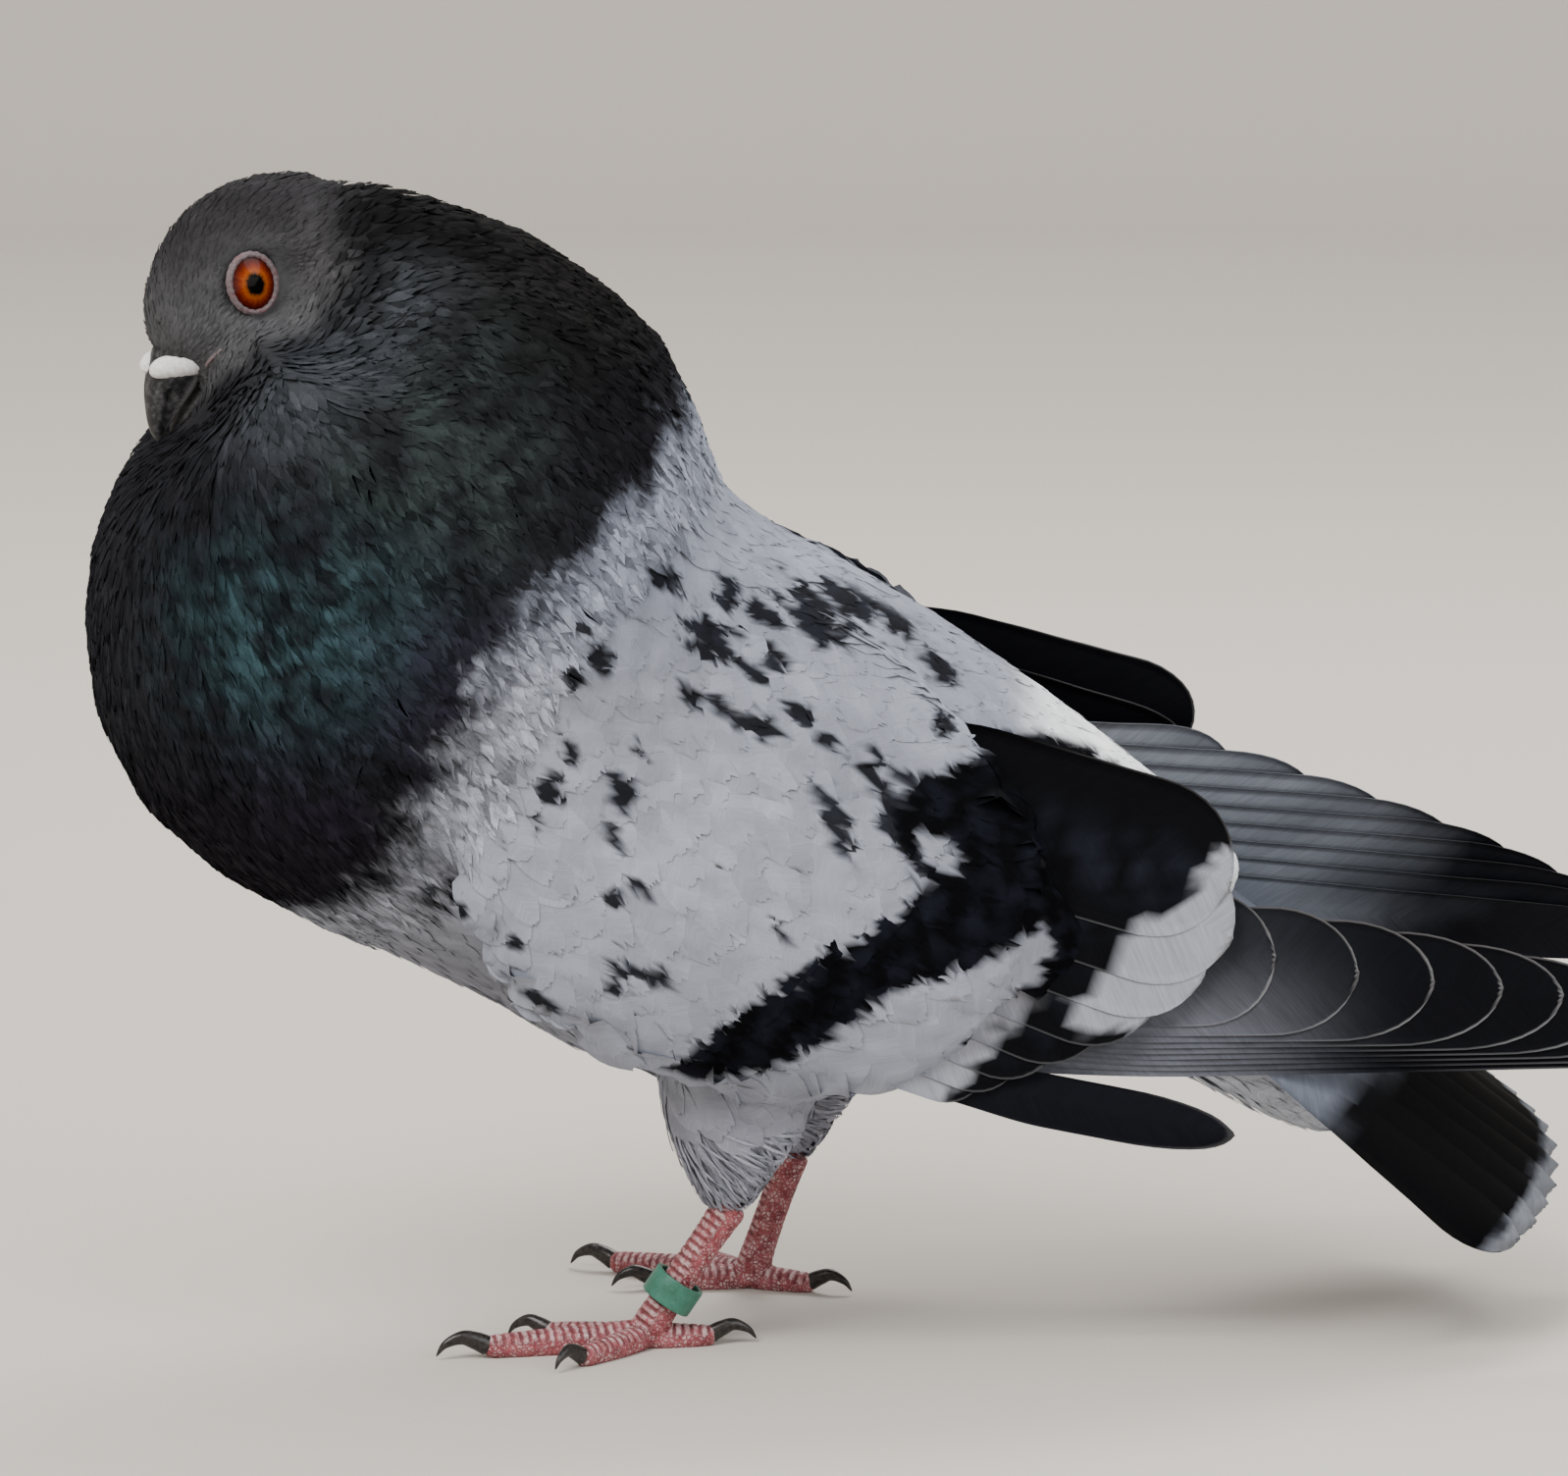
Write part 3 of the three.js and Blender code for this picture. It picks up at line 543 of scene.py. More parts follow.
def remeshed(points, faces, voxel):
    """The outer surface of a heap of closed meshes, as one mesh of quads."""
    mesh = bpy.data.meshes.new("heap")
    mesh.from_pydata(points.tolist(), [], faces.tolist())
    heap = bpy.data.objects.new("heap", mesh)
    bpy.context.scene.collection.objects.link(heap)
    modifier = heap.modifiers.new("remesh", "REMESH")
    modifier.mode, modifier.voxel_size = "VOXEL", voxel
    graph = bpy.context.evaluated_depsgraph_get()
    made = heap.evaluated_get(graph).to_mesh()
    out = np.zeros(len(made.vertices) * 3, np.float32)
    made.vertices.foreach_get("co", out)
    loops = np.zeros(len(made.loops), np.int32)
    made.loops.foreach_get("vertex_index", loops)
    quads = loops.reshape(-1, 4)
    bpy.data.objects.remove(heap)
    return out.reshape(-1, 3).astype(float), quads


def relaxed(points, quads, rounds, share=0.5):
    """Each point moved towards the middle of its neighbours, some rounds."""
    edges = np.vstack([quads[:, [0, 1]], quads[:, [1, 2]], quads[:, [2, 3]], quads[:, [3, 0]]])
    count = np.bincount(edges.ravel(), minlength=len(points)).astype(float)[:, None]
    for _ in range(rounds):
        total = np.zeros_like(points)
        for k in range(3):
            total[:, k] = np.bincount(edges[:, 0], points[edges[:, 1], k], len(points))
            total[:, k] += np.bincount(edges[:, 1], points[edges[:, 0], k], len(points))
        points = points + share * (total / count - points)
    return points


def outer_only(points, quads):
    """The largest connected part of a mesh."""
    label = np.arange(len(points))
    while True:
        least = label[quads].min(1)
        new = label.copy()
        for i in range(4):
            np.minimum.at(new, quads[:, i], least)
        new = new[new]
        if (new == label).all():
            break
        label = new
    names, counts = np.unique(label[quads[:, 0]], return_counts=True)
    keep = label[quads[:, 0]] == names[np.argmax(counts)]
    used = np.unique(quads[keep])
    index = np.zeros(len(points), int)
    index[used] = np.arange(len(used))
    return points[used], index[quads[keep]]


def coat_depth(p):
    """How far the skin lies inside the outline of the coat."""
    b, h = to_body(p), to_head(p)
    depth = np.full(len(p), 1.7)
    depth = mix(depth, 1.9, step(collar_depth(b), -10, 10))
    reach = np.linalg.norm(h - [-2, 0, -2], axis=1)
    depth = mix(depth, 0.8, step(-reach, -34, -16))
    return mix(depth, 1.5, step(-b[:, 2], -45, -30))


# The plane that each eye's ring of skin lies on: distance from the head's middle, and its slopes back and up.
EYE_FLAT = (10.0, 0.06, -0.04)


def eye_plane(h):
    base, back, up = EYE_FLAT
    return base + back * (h[..., 0] - EYE_PLACE[0]) + up * (h[..., 2] - EYE_PLACE[2])


def sockets(points):
    """The skin drawn in to a shallow flat round each eye."""
    h = to_head(points)
    far = np.hypot(h[:, 0] - EYE_PLACE[0], h[:, 2] - EYE_PLACE[2])
    past = np.maximum(0, far - 6.2)
    most = eye_plane(h) - 0.55 + 0.6 * past + 0.12 * past**2
    near = (far < 13) & (np.abs(h[:, 1]) > 4)
    h[:, 1] = np.where(near, np.sign(h[:, 1]) * np.minimum(np.abs(h[:, 1]), most), h[:, 1])
    return from_head(h)


EASE_ROUNDS = 40
BRIDGE_ROUNDS = 90


def eased(points, quads):
    """The skin smoothed round the flats of the eyes, where they meet the cheek and the neck."""
    h = to_head(points)
    far = np.hypot(h[:, 0] - EYE_PLACE[0], h[:, 2] - EYE_PLACE[2])
    share = step(far, 6.8, 8.5) * step(-far, -21, -15) * step(h[:, 0], -13, -8) * (np.abs(h[:, 1]) > 3)
    share = share[:, None]
    for _ in range(EASE_ROUNDS):
        points = points + share * (relaxed(points, quads, 1, 0.8) - points)
    return points


def bridged(points, quads):
    """The fold between the head and the neck filled out, as feathers lie over it."""
    reach = np.linalg.norm((to_head(points) - [2, 0, -3]) / [1.2, 1.0, 1.1], axis=1)
    bill = np.linalg.norm(to_head(points) - [-24, 0, -4], axis=1)
    share = step(-np.abs(reach - 20), -11, -5)[:, None] * step(bill, 9, 13)[:, None]
    # The corner under the left cheek, where the head is turned into the neck.
    corner = np.linalg.norm(points - [-60.9, -34.1, 178.6], axis=1)
    share = np.maximum(share, step(-corner, -11, -6)[:, None])
    for _ in range(BRIDGE_ROUNDS):
        out = normals_of(points, quads)
        moved = relaxed(points, quads, 1, 0.8)
        rise = np.sum((moved - points) * out, 1, keepdims=True)
        points = points + share * (np.maximum(0, rise) * out + 0.3 * (moved - points - rise * out))
    return points


FLESH = ["head", "neck", "trunk", "thigh_left", "thigh_right"]
VOXEL = 1.5
OVERLAP = 0.35  # how far each body is swelled, so that the heap closes over the gaps between the solids


def build_skin():
    heap, start = [], 0
    parts = [welded(*node_mesh(name)) for name in FLESH]
    left, faces = shield()
    parts += [(from_body(left), faces), (from_body(right_wing(left)), flipped(faces))]
    all_points, all_faces = [], []
    for points, faces in parts:
        out = normals_of(points, faces)
        if volume_of(points, faces) < 0:
            faces, out = flipped(faces), -out
        all_points.append(points + OVERLAP * out)
        all_faces.append(faces + start)
        start += len(points)
    points, quads = remeshed(np.vstack(all_points), np.vstack(all_faces), VOXEL)
    points, quads = outer_only(points, quads)
    points = relaxed(points, quads, 4)
    out = normals_of(points, quads)
    smooth_out = unit(relaxed(out, quads, 3))
    points = points - smooth_out * coat_depth(points)[:, None]
    points = relaxed(points, quads, 2)
    points = bridged(points, quads)
    # Made anew, which clears the folds that the filling leaves.
    points, quads = outer_only(*remeshed(points, quads, VOXEL))
    return eased(sockets(relaxed(points, quads, 2)), quads), quads


skin_points, skin_quads = build_skin()
skin_out = normals_of(skin_points, skin_quads)
print("skin", len(skin_points), "points")
skin = mesh_object("skin", skin_points, skin_quads, skin_material())
give(skin, "tint", "FLOAT_COLOR", plumage(skin_points))
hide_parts(*FLESH, "wing_arm_left", "wing_arm_right")

# ---- The lie of the coat ----

# In the head frame: place, then direction of the lie. Mirrored across the head's middle.
HEAD_LIE = [
    ((-17, 0, 8), (0.35, 0, 1)), ((-10, 0, 13), (0.7, 0, 0.6)), ((-2, 0, 15.5), (1, 0, 0.1)),
    ((6, 0, 14), (1, 0, -0.3)), ((14, 0, 10), (0.75, 0, -0.7)), ((20, 0, 1), (0.3, 0, -1)),
    ((-14, 6, 3), (0.9, 0.3, 0.25)), ((-7, 8, 3), (1, 0.1, 0.25)), ((-5, 6, 9), (1, 0.1, 0.5)),
    ((3, 8, 7), (1, 0.1, 0.15)), ((-4, 8, -6), (1, 0.1, -0.15)), ((4, 10, -6), (1, 0.1, -0.2)),
    ((8, 10, 0), (1, 0.1, -0.25)), ((14, 10, -5), (0.85, 0, -0.55)), ((12, 9, 6), (0.9, 0, -0.45)),
    ((-14, 5, -6), (0.9, 0.2, -0.4)), ((-14, 0, -9), (0.6, 0, -0.8)), ((-8, 0, -13), (0.5, 0, -0.9)),
    ((-8, 6, -10), (0.8, 0.1, -0.6)), ((4, 6, -13), (0.7, 0.1, -0.7)),
]
# In the body frame, mirrored across the body's middle.
BODY_LIE = [
    ((-45, 0, 203), (1, 0, 0.1)), ((-30, 8, 199), (1, 0, -0.3)), ((-12, 5, 197), (0.9, 0, -0.6)),
    ((4, 5, 185), (0.6, 0, -1)), ((12, 5, 168), (0.5, 0, -1)), ((-40, 28, 185), (0.75, 0.2, -0.6)),
    ((-20, 30, 178), (0.7, 0.1, -0.8)), ((-2, 25, 172), (0.6, 0.1, -0.9)),
    ((-60, 34, 165), (0.55, 0.5, -0.8)), ((-40, 45, 150), (0.6, 0.2, -0.85)),
    ((-15, 44, 145), (0.7, 0, -0.8)), ((-80, 20, 160), (0.1, 0.3, -1)), ((-92, 0, 145), (-0.1, 0, -1)),
    ((-97, 0, 122), (0.05, 0, -1)), ((-85, 30, 125), (0.25, 0.3, -1)), ((-65, 46, 125), (0.45, 0.1, -1)),
    ((-40, 52, 120), (0.6, 0, -0.9)), ((-88, 0, 98), (0.5, 0, -1)), ((-72, 30, 95), (0.6, 0, -0.8)),
    ((-50, 45, 100), (0.75, 0, -0.75)), ((-65, 0, 78), (1, 0, -0.5)), ((-45, 25, 76), (1, 0, -0.35)),
    ((-25, 0, 58), (1, 0, -0.3)), ((0, 0, 45), (1, 0, -0.1)), ((25, 0, 43), (1, 0, 0.1)),
    ((50, 0, 50), (1, 0, 0.1)), ((75, 0, 55), (1, 0, -0.3)), ((100, 0, 42), (0.85, 0, -0.5)),
    ((125, 0, 30), (0.8, 0, -0.6)), ((100, 20, 58), (0.85, 0, -0.5)), ((10, 38, 60), (1, 0, -0.2)),
    ((40, 34, 65), (1, 0, -0.2)), ((-15, 40, 75), (0.9, 0, -0.4)), ((20, 0, 152), (0.85, 0, -0.5)),
    ((45, 0, 137), (0.85, 0, -0.5)), ((70, 0, 120), (0.85, 0, -0.5)), ((95, 0, 100), (0.8, 0, -0.6)),
    ((12, 25, 150), (0.75, 0, -0.6)), ((35, 22, 138), (0.8, 0, -0.55)), ((60, 22, 122), (0.85, 0, -0.5)),
    ((76, 28, 105), (0.85, 0, -0.5)), ((0, 38, 140), (0.65, 0, -0.75)), ((-25, 48, 110), (0.5, 0, -0.85)),
    ((-30, 46, 90), (0.6, 0, -0.8)), ((0, 52, 110), (0.5, 0, -0.85)), ((25, 48, 115), (0.6, 0, -0.75)),
    ((45, 44, 108), (0.65, 0, -0.75)), ((10, 54, 88), (0.5, 0, -0.85)), ((35, 52, 85), (0.6, 0, -0.8)),
    ((55, 48, 90), (0.7, 0, -0.7)), ((-10, 52, 70), (0.7, 0, -0.7)), ((20, 52, 62), (0.8, 0, -0.6)),
    ((45, 50, 62), (0.9, 0, -0.4)), ((22, 26, 50), (0.15, 0.1, -1)), ((20, 26, 38), (0, 0, -1)),
    ((18, 24, 27), (-0.05, 0, -1)),
]


def anchors():
    places, ways, reach = [], [], []
    tables = ((HEAD_LIE, from_head, HEAD_TURN, 6.0), (BODY_LIE, from_body, BODY_TURN, 14.0))
    for table, go, turned, size in tables:
        for place, way in table:
            for side in ((1, -1) if place[1] or way[1] else (1,)):
                places.append(go(np.array(place, float) * [1, side, 1]))
                ways.append(turned @ (np.array(way, float) * [1, side, 1]))
                reach.append(size)
    return np.array(places), unit(np.array(ways)), np.array(reach)


LIE_PLACES, LIE_WAYS, LIE_REACH = anchors()


def lie(p, out):
    """The way the coat lies at points with outward normals, along the skin."""
    total = np.zeros_like(p)
    weight = np.zeros(len(p))
    for place, way, reach in zip(LIE_PLACES, LIE_WAYS, LIE_REACH):
        w = np.exp(-np.sum((p - place) ** 2, 1) / (2 * reach * reach)) + 1e-9
        w *= 14.0 / reach
        total += w[:, None] * way
        weight += w
    way = total / weight[:, None]
    way = way - np.sum(way * out, 1, keepdims=True) * out
    return unit(way)


# ---- Roots of the feathers, spread evenly over the skin ----

tree = BVHTree.FromPolygons([Vector(p) for p in skin_points], skin_quads.tolist())


def nearest_on_skin(p):
    """The nearest skin points and their smooth outward normals."""
    place, out = np.empty_like(p), np.empty_like(p)
    for i, q in enumerate(p):
        hit, _, face, _ = tree.find_nearest(q)
        place[i] = hit
        out[i] = skin_out_face[face]
    return place, unit(out)


skin_out_face = unit(skin_out[skin_quads].mean(1))
corners = skin_points[skin_quads]
diagonals = corners[:, 2] - corners[:, 0], corners[:, 3] - corners[:, 1]
face_area = 0.5 * np.linalg.norm(np.cross(*diagonals), axis=1)


CELLS = 8192  # along each side of the grid that finds close neighbours


def spread(gap, allowed, source):
    """Random places on the faces that are allowed, at least about gap apart: (points, face of each)."""
    faces = np.flatnonzero(allowed)
    if not len(faces):
        return np.zeros((0, 3)), np.zeros(0, int)
    share = face_area[faces]
    count = int(4.0 * share.sum() / (gap * gap))
    pick = faces[source.choice(len(faces), count, p=share / share.sum())]
    s, t = source.random(count)[:, None], source.random(count)[:, None]
    a, b, c, d = (corners[pick, i] for i in range(4))
    p = mix(mix(a, b, s), mix(d, c, s), t)
    cell = np.floor(p / gap).astype(np.int64) + CELLS // 2
    key = (cell[:, 0] * CELLS + cell[:, 1]) * CELLS + cell[:, 2]
    order = np.argsort(key, kind="stable")
    first = np.unique(key[order], return_index=True)[1]
    kept = order[first]
    p, pick, cell, key = p[kept], pick[kept], cell[kept], key[kept]
    rank = source.permutation(len(p))
    drop = np.zeros(len(p), bool)
    for dx in (-1, 0, 1):
        for dy in (-1, 0, 1):
            for dz in (-1, 0, 1):
                if (dx, dy, dz) == (0, 0, 0):
                    continue
                other = ((cell[:, 0] + dx) * CELLS + cell[:, 1] + dy) * CELLS + cell[:, 2] + dz
                at = np.minimum(np.searchsorted(key, other), len(key) - 1)
                near = (key[at] == other) & (np.linalg.norm(p[at] - p, axis=1) < gap * 0.72)
                drop |= near & (rank[at] < rank)
    return p[~drop], pick[~drop]


# ---- An unwrap of the skin along and around the bird's own axis, for the coat's baked colours ----

AXIS = np.vstack([
    from_head([(-32, 0, -5), (-14, 0, -1), (2, 0, 0)]),
    from_body([
        (-45, 0, 178), (-40, 0, 150), (-22, 0, 122), (10, 0, 98), (45, 0, 88), (85, 0, 80), (135, 0, 45),
    ]),
])


def unwrapped(p):
    """Places on the unwrap: along the axis, and around it."""
    fine = catmull(AXIS, np.linspace(0, 1, 400))
    length = np.concatenate([[0], np.cumsum(np.linalg.norm(np.diff(fine, axis=0), axis=1))])
    finder = KDTree(len(fine))
    for i, q in enumerate(fine):
        finder.insert(q, i)
    finder.balance()
    index = np.array([finder.find(q)[1] for q in p])
    way = unit(np.gradient(fine, axis=0))[index]
    off = p - fine[index]
    beyond = np.sum(off * way, 1)
    side = unit(np.cross(way, BODY_TURN @ [0, 0, 1.0]) + 1e-6)
    side = np.where((side @ BODY_TURN)[:, 1:2] > 0, side, -side)
    up = np.cross(way, side)
    around = np.arctan2(np.sum(off * side, 1), np.sum(off * up, 1)) / (2 * np.pi) + 0.5
    along = (length[index] + 0.5 * beyond) / length[-1]
    return np.stack([np.clip(0.02 + 0.94 * along, 0.004, 0.996), 0.02 + 0.96 * around], 1)


# ---- Vanes over the skin ----


def vanes(name, root, length, width, height, material, rows, columns, fray, keel=0.12, sink=0.5,
          turned=6.0, marks=0.5, tip=0.35, vary=0.05, streak=0.0, way=None, stray=0.12):
    """Small feathers over the skin, as one mesh.

    Each has rows along it and columns across it, follows the skin,
    rises to its height at the tip, and is coloured from the markings."""
    count = len(root)
    place, out = nearest_on_skin(root)
    led = way is not None
    way = lie(place, out) if way is None else unit(way.T - np.sum(way.T * out, 1, keepdims=True) * out)
    side = np.cross(out, way)
    angle = np.radians(random.normal(0, turned, count))[:, None]
    way = way * np.cos(angle) + side * np.sin(angle)
    seeds = random.random(count) * 60
    length = length * random.normal(1, 0.10, count).clip(0.7, 1.3)
    width = width * random.normal(1, 0.10, count).clip(0.7, 1.3)
    share = np.linspace(0, 1, rows)
    line = [place]
    outs = [out]
    at, heading = place, way
    for r in range(1, rows):
        stride = (share[r] - share[r - 1]) * length
        at = at + heading * stride[:, None]
        hit, normal = nearest_on_skin(at)
        # Past an edge of the body the feather goes straight on.
        over = (np.sum(normal * outs[-1], 1, keepdims=True) < 0.55) | (
            np.linalg.norm(hit - at, axis=1, keepdims=True) > 0.45 * stride[:, None]
        )
        normal = np.where(over, outs[-1], normal)
        at = np.where(over, at, hit)
        heading = unit(heading - np.sum(heading * normal, 1, keepdims=True) * normal)
        line.append(at)
        outs.append(normal)
    if not led:
        # Those whose tips would stand clear of the body are left out.
        clear = np.max([np.linalg.norm(nearest_on_skin(at)[0] - at, axis=1) for at in line[1:]], axis=0)
        kept = (clear < 0.6 + stray * length) & (np.sum(outs[0] * outs[-1], 1) > 0.3)
        count = int(kept.sum())
        line, outs = [a[kept] for a in line], [a[kept] for a in outs]
        place, way, seeds, length, width = place[kept], way[kept], seeds[kept], length[kept], width[kept]
        height = np.broadcast_to(height, kept.shape)[kept]
    columns_at = np.linspace(-1, 1, columns)
    points = np.zeros((count, rows, columns, 3))
    vane = np.zeros((count, rows, columns, 3))
    ragged = random.normal(0, 1, (count, columns))
    layer = random.random(count)
    for r in range(rows):
        s = share[r]
        normal = outs[r]
        ahead = line[min(r + 1, rows - 1)] - line[max(r - 1, 0)]
        ahead = unit(ahead - np.sum(ahead * normal, 1, keepdims=True) * normal)
        across = np.cross(normal, ahead)
        wide = (0.35 + 0.65 * math.sin(math.pi / 2 * min(1, s / 0.55)))
        if s > 0.6:
            wide *= mix(1.0, tip, ((s - 0.6) / 0.4) ** 2)
        half = 0.5 * width * wide
        lift = -sink + (height + sink) * s ** 0.75 + 0.25 * (layer - 0.5) * s
        for c, u in enumerate(columns_at):
            rounding = -(u * u) * 0.35 * half * (s > 0.5) * ((s - 0.5) / 0.5) * tip
            frayed = fray * ragged[:, c] * length * max(0.0, s - 0.45) / 0.55 * (1 if c % 2 else 0.6)
            bend = lift - keel * width * u * u
            forward = ahead * (rounding + frayed)[:, None]
            points[:, r, c] = line[r] + normal * bend[:, None] + across * (half * u)[:, None] + forward
            vane[:, r, c, 0] = half * u
            vane[:, r, c, 1] = s * length
            vane[:, r, c, 2] = seeds
    base = (np.arange(count) * rows * columns)[:, None]
    r, c = np.meshgrid(np.arange(rows - 1), np.arange(columns - 1), indexing="ij")
    corner = (r * columns + c).ravel()[None, :]
    quads = np.stack([base + corner + step_on for step_on in (0, 1, columns + 1, columns)], 2)
    flat = points.reshape(-1, 3)
    piece = mesh_object(name, flat, quads.reshape(-1, 4), material)
    # The wing's marks are read partly at the feather's own middle, so that each feather's edge shows.
    middle = (line[rows // 2] + 0.25 * length[:, None] * way)[:, None, None, :]
    read = mix(points, np.broadcast_to(middle, points.shape), marks)
    barbs = streak * (ragged + np.roll(ragged, 1, 1) + 0.6 * random.normal(0, 1, (count, 1)))
    read = (read + barbs[:, None, :, None] * way[:, None, None, :]).reshape(-1, 3)
    tint = plumage(flat, read)
    each = np.repeat(random.normal(1, vary, count).clip(0.5, 1.5), rows * columns)
    s_all = np.tile(np.repeat(share, columns), count)
    u_all = np.tile(np.tile(columns_at, rows), count)
    # Painted shade and light: each feather darker towards its base, where the feather over it shades it, and a
    # little lighter at the edge of its tip.
    edge = 1 + 0.06 * step(s_all, 0.55, 1.0) * step(np.abs(u_all) + s_all, 1.2, 1.7)
    edge = edge - 0.18 * step(-s_all, -0.45, -0.1)
    tint = tint * (each * edge)[:, None]
    give(piece, "tint", "FLOAT_COLOR", np.clip(tint, 0, 1))
    give(piece, "vane", "FLOAT_VECTOR", vane.reshape(-1, 3))
    where = unwrapped(place)
    patch = np.stack([np.tile(np.tile(columns_at, rows), count), 2 * s_all - 1], 1) * 0.0015
    give_map(piece, np.repeat(where, rows * columns, 0) + patch)
    print(name, count, "feathers", len(quads.reshape(-1, 4)) * 2, "triangles")
    return piece

# ---- The coat ----

face_at = corners.mean(1)
face_body, face_head = to_body(face_at), to_head(face_at)
face_reach = np.linalg.norm((face_head - [-2, 0, -2]) / [1.25, 1.0, 1.1], axis=1)
face_collar = collar_depth(face_body)


def eye_gap(h):
    """Distance of head-frame points from the nearer eye's middle, along the head's side."""
    near, far = (np.linalg.norm((h - EYE_PLACE * [1, s, 1]) / [1, 1.5, 1.06], axis=1) for s in (1, -1))
    return np.minimum(near, far)


is_head = face_reach < 19
is_neck = ~is_head & (face_collar > -5)
is_thigh = face_body[:, 2] < 50
not_bare = (eye_gap(face_head) > 5.5) & (np.linalg.norm(face_head - [-21, 0, 0], axis=1) > 3.5)

HEAD_COAT = feather_material("head_feathers", 0.8, 0.06, 1.6, 0.8)
NECK_COAT = feather_material("neck_feathers", 0.75, 0.04, 1.3, 1.5)
BODY_COAT = feather_material("body_feathers", 0.85, 0.03, 1.2, 0.55)
DOWN_COAT = feather_material("thigh_feathers", 0.85, 0.05, 0.9, 1.1)

THIN = 1.0


def sized(p, inner, outer, near, far):
    """A size that grows from the face outwards."""
    reach = np.linalg.norm((to_head(p) - [-2, 0, -2]) / [1.25, 1.0, 1.1], axis=1)
    return mix(inner, outer, step(reach, near, far))


root, _ = spread(0.82 * THIN, is_head & not_bare, random)
size = sized(root, 2.4, 5.0, 8, 20)
size *= mix(0.45, 1.0, step(np.linalg.norm(to_head(root) - [-20, 0, 0], axis=1), 3, 11))
size *= mix(0.45, 1.0, step(eye_gap(to_head(root)), 5.5, 9))
vanes("coat_head", root, size, 0.17 * size + 0.30, 0.14 * size, HEAD_COAT, 5, 3, 0.12,
      sink=0.25, turned=6, tip=0.15, vary=0.10, keel=0.18)

for name, part in (("crop", face_body[:, 0] < -55), ("neck", face_body[:, 0] >= -55)):
    root, _ = spread(1.2 * THIN, is_neck & part, random)
    size = sized(root, 4.5, 10.0, 18, 42)
    b = to_body(root)
    # Fine and long over the front of the crop, broader and ruffled on the side of the neck.
    broad = step(b[:, 0], -75, -45) * step(b[:, 2], 95, 125)
    vanes("coat_" + name, root, size, size * mix(0.17, 0.25, broad) + 0.3, mix(0.9, 1.3, broad), NECK_COAT,
          6, 3, 0.12, sink=0.4, tip=0.12, vary=0.28, turned=mix(5, 13, broad), keel=0.12)

body = ~is_head & ~is_neck & ~is_thigh
left = face_body[:, 1] < 0
face_out = unit(skin_out[skin_quads].mean(1)) @ BODY_TURN
facing = face_out @ unit(np.array([0.1, 0, 0.45])) * 0.42 + np.abs(face_out[:, 1]) * 0.91 * np.sign(
    face_out[:, 1] * face_body[:, 1])
# The front edge of the great coverts on the wing: height, and how far back.
ROW_EDGE = np.array([(50, 20), (62, 19), (66, 18), (73, 18), (80, 21), (86, 31), (88, 200)], float)
on_wing = (np.abs(face_body[:, 1]) > 33) & (face_body[:, 0] > -36) & (face_body[:, 0] < 95)
on_wing &= face_body[:, 2] > 52
rim = on_wing & (facing < 0.25) & (face_body[:, 2] < 112)
rowed = on_wing & left & (face_body[:, 0] > np.interp(face_body[:, 2], ROW_EDGE[:, 0], ROW_EDGE[:, 1]))
wing = on_wing & body & ~rim & ~rowed
for name, side in (("left", left), ("right", ~left)):
    root, _ = spread(2.9 * THIN, wing & side, random)
    b = to_body(root)
    size = mix(11, 17, step(b[:, 0], -32, -5)) * mix(1.0, 0.85, step(b[:, 2], 125, 145))
    size *= mix(0.5, 1.0, step(b[:, 2] + 0.4 * b[:, 0], 54, 72))
    vanes("coat_wing_" + name, root, size, size * 0.55, 0.75 + 0 * size, BODY_COAT,
          10, 9, 0.035, sink=0.1, tip=0.35, turned=5, vary=0.05, keel=0.03, marks=0.1, streak=0.45)
    root, _ = spread(2.1 * THIN, body & side & (~on_wing | rim) & (face_body[:, 0] < 92), random)
    b = to_body(root)
    size = mix(9.0, 12, step(b[:, 0], -35, 0)) * mix(1.0, 0.85, step(b[:, 2], 132, 150))
    under = step(-b[:, 2], -66, -56) * step(-np.abs(b[:, 1]), -44, -36)
    size = mix(size, 9.0, under)
    size = np.where((np.abs(b[:, 1]) > 33) & (b[:, 2] > 48), np.minimum(size, 5.0), size)
    size *= mix(1.0, 0.65, step(collar_depth(b), -22, -8))
    vanes("coat_body_" + name, root, size, size * mix(0.46, 0.34, under), 0.6 + 0 * size, BODY_COAT,
          8, 7, 0.05, sink=0.1, tip=0.25, turned=6, vary=0.04, keel=0.03, marks=0.1,
          streak=0.4)
    root, _ = spread(1.2 * THIN, is_thigh & side & (face_body[:, 0] < 45), random)
    size = 10 + 0 * root[:, 0]
    vanes("coat_thigh_" + name, root, size, 0.07 * size, 1.4 + 0 * size, DOWN_COAT,
          6, 3, 0.10, sink=0.2, tip=0.1, turned=12, vary=0.24, keel=0.2, stray=0.35)
    root, _ = spread(2.0 * THIN, is_thigh & side & (face_body[:, 0] >= 45), random)
    size = mix(15, 7, step(to_body(root)[:, 0], 78, 92))
    vanes("coat_undertail_" + name, root, size, 0.36 * size, 0.8 + 0 * size, DOWN_COAT,
          8, 5, 0.04, sink=0.2, tip=0.35, turned=6, vary=0.05, keel=0.04, stray=0.22)


# ---- The rows of larger coverts that end over the flight feathers ----


# Rows of tips on the left wing, from its lower front up to its top: how far back, and how high.
GREAT_TIPS = [(26, 56), (33, 57), (44, 59), (54, 62), (63, 68), (71, 76), (79, 81)]
MIDDLE_TIPS = [(13, 70), (22, 77), (31, 83), (39, 87), (45, 91)]


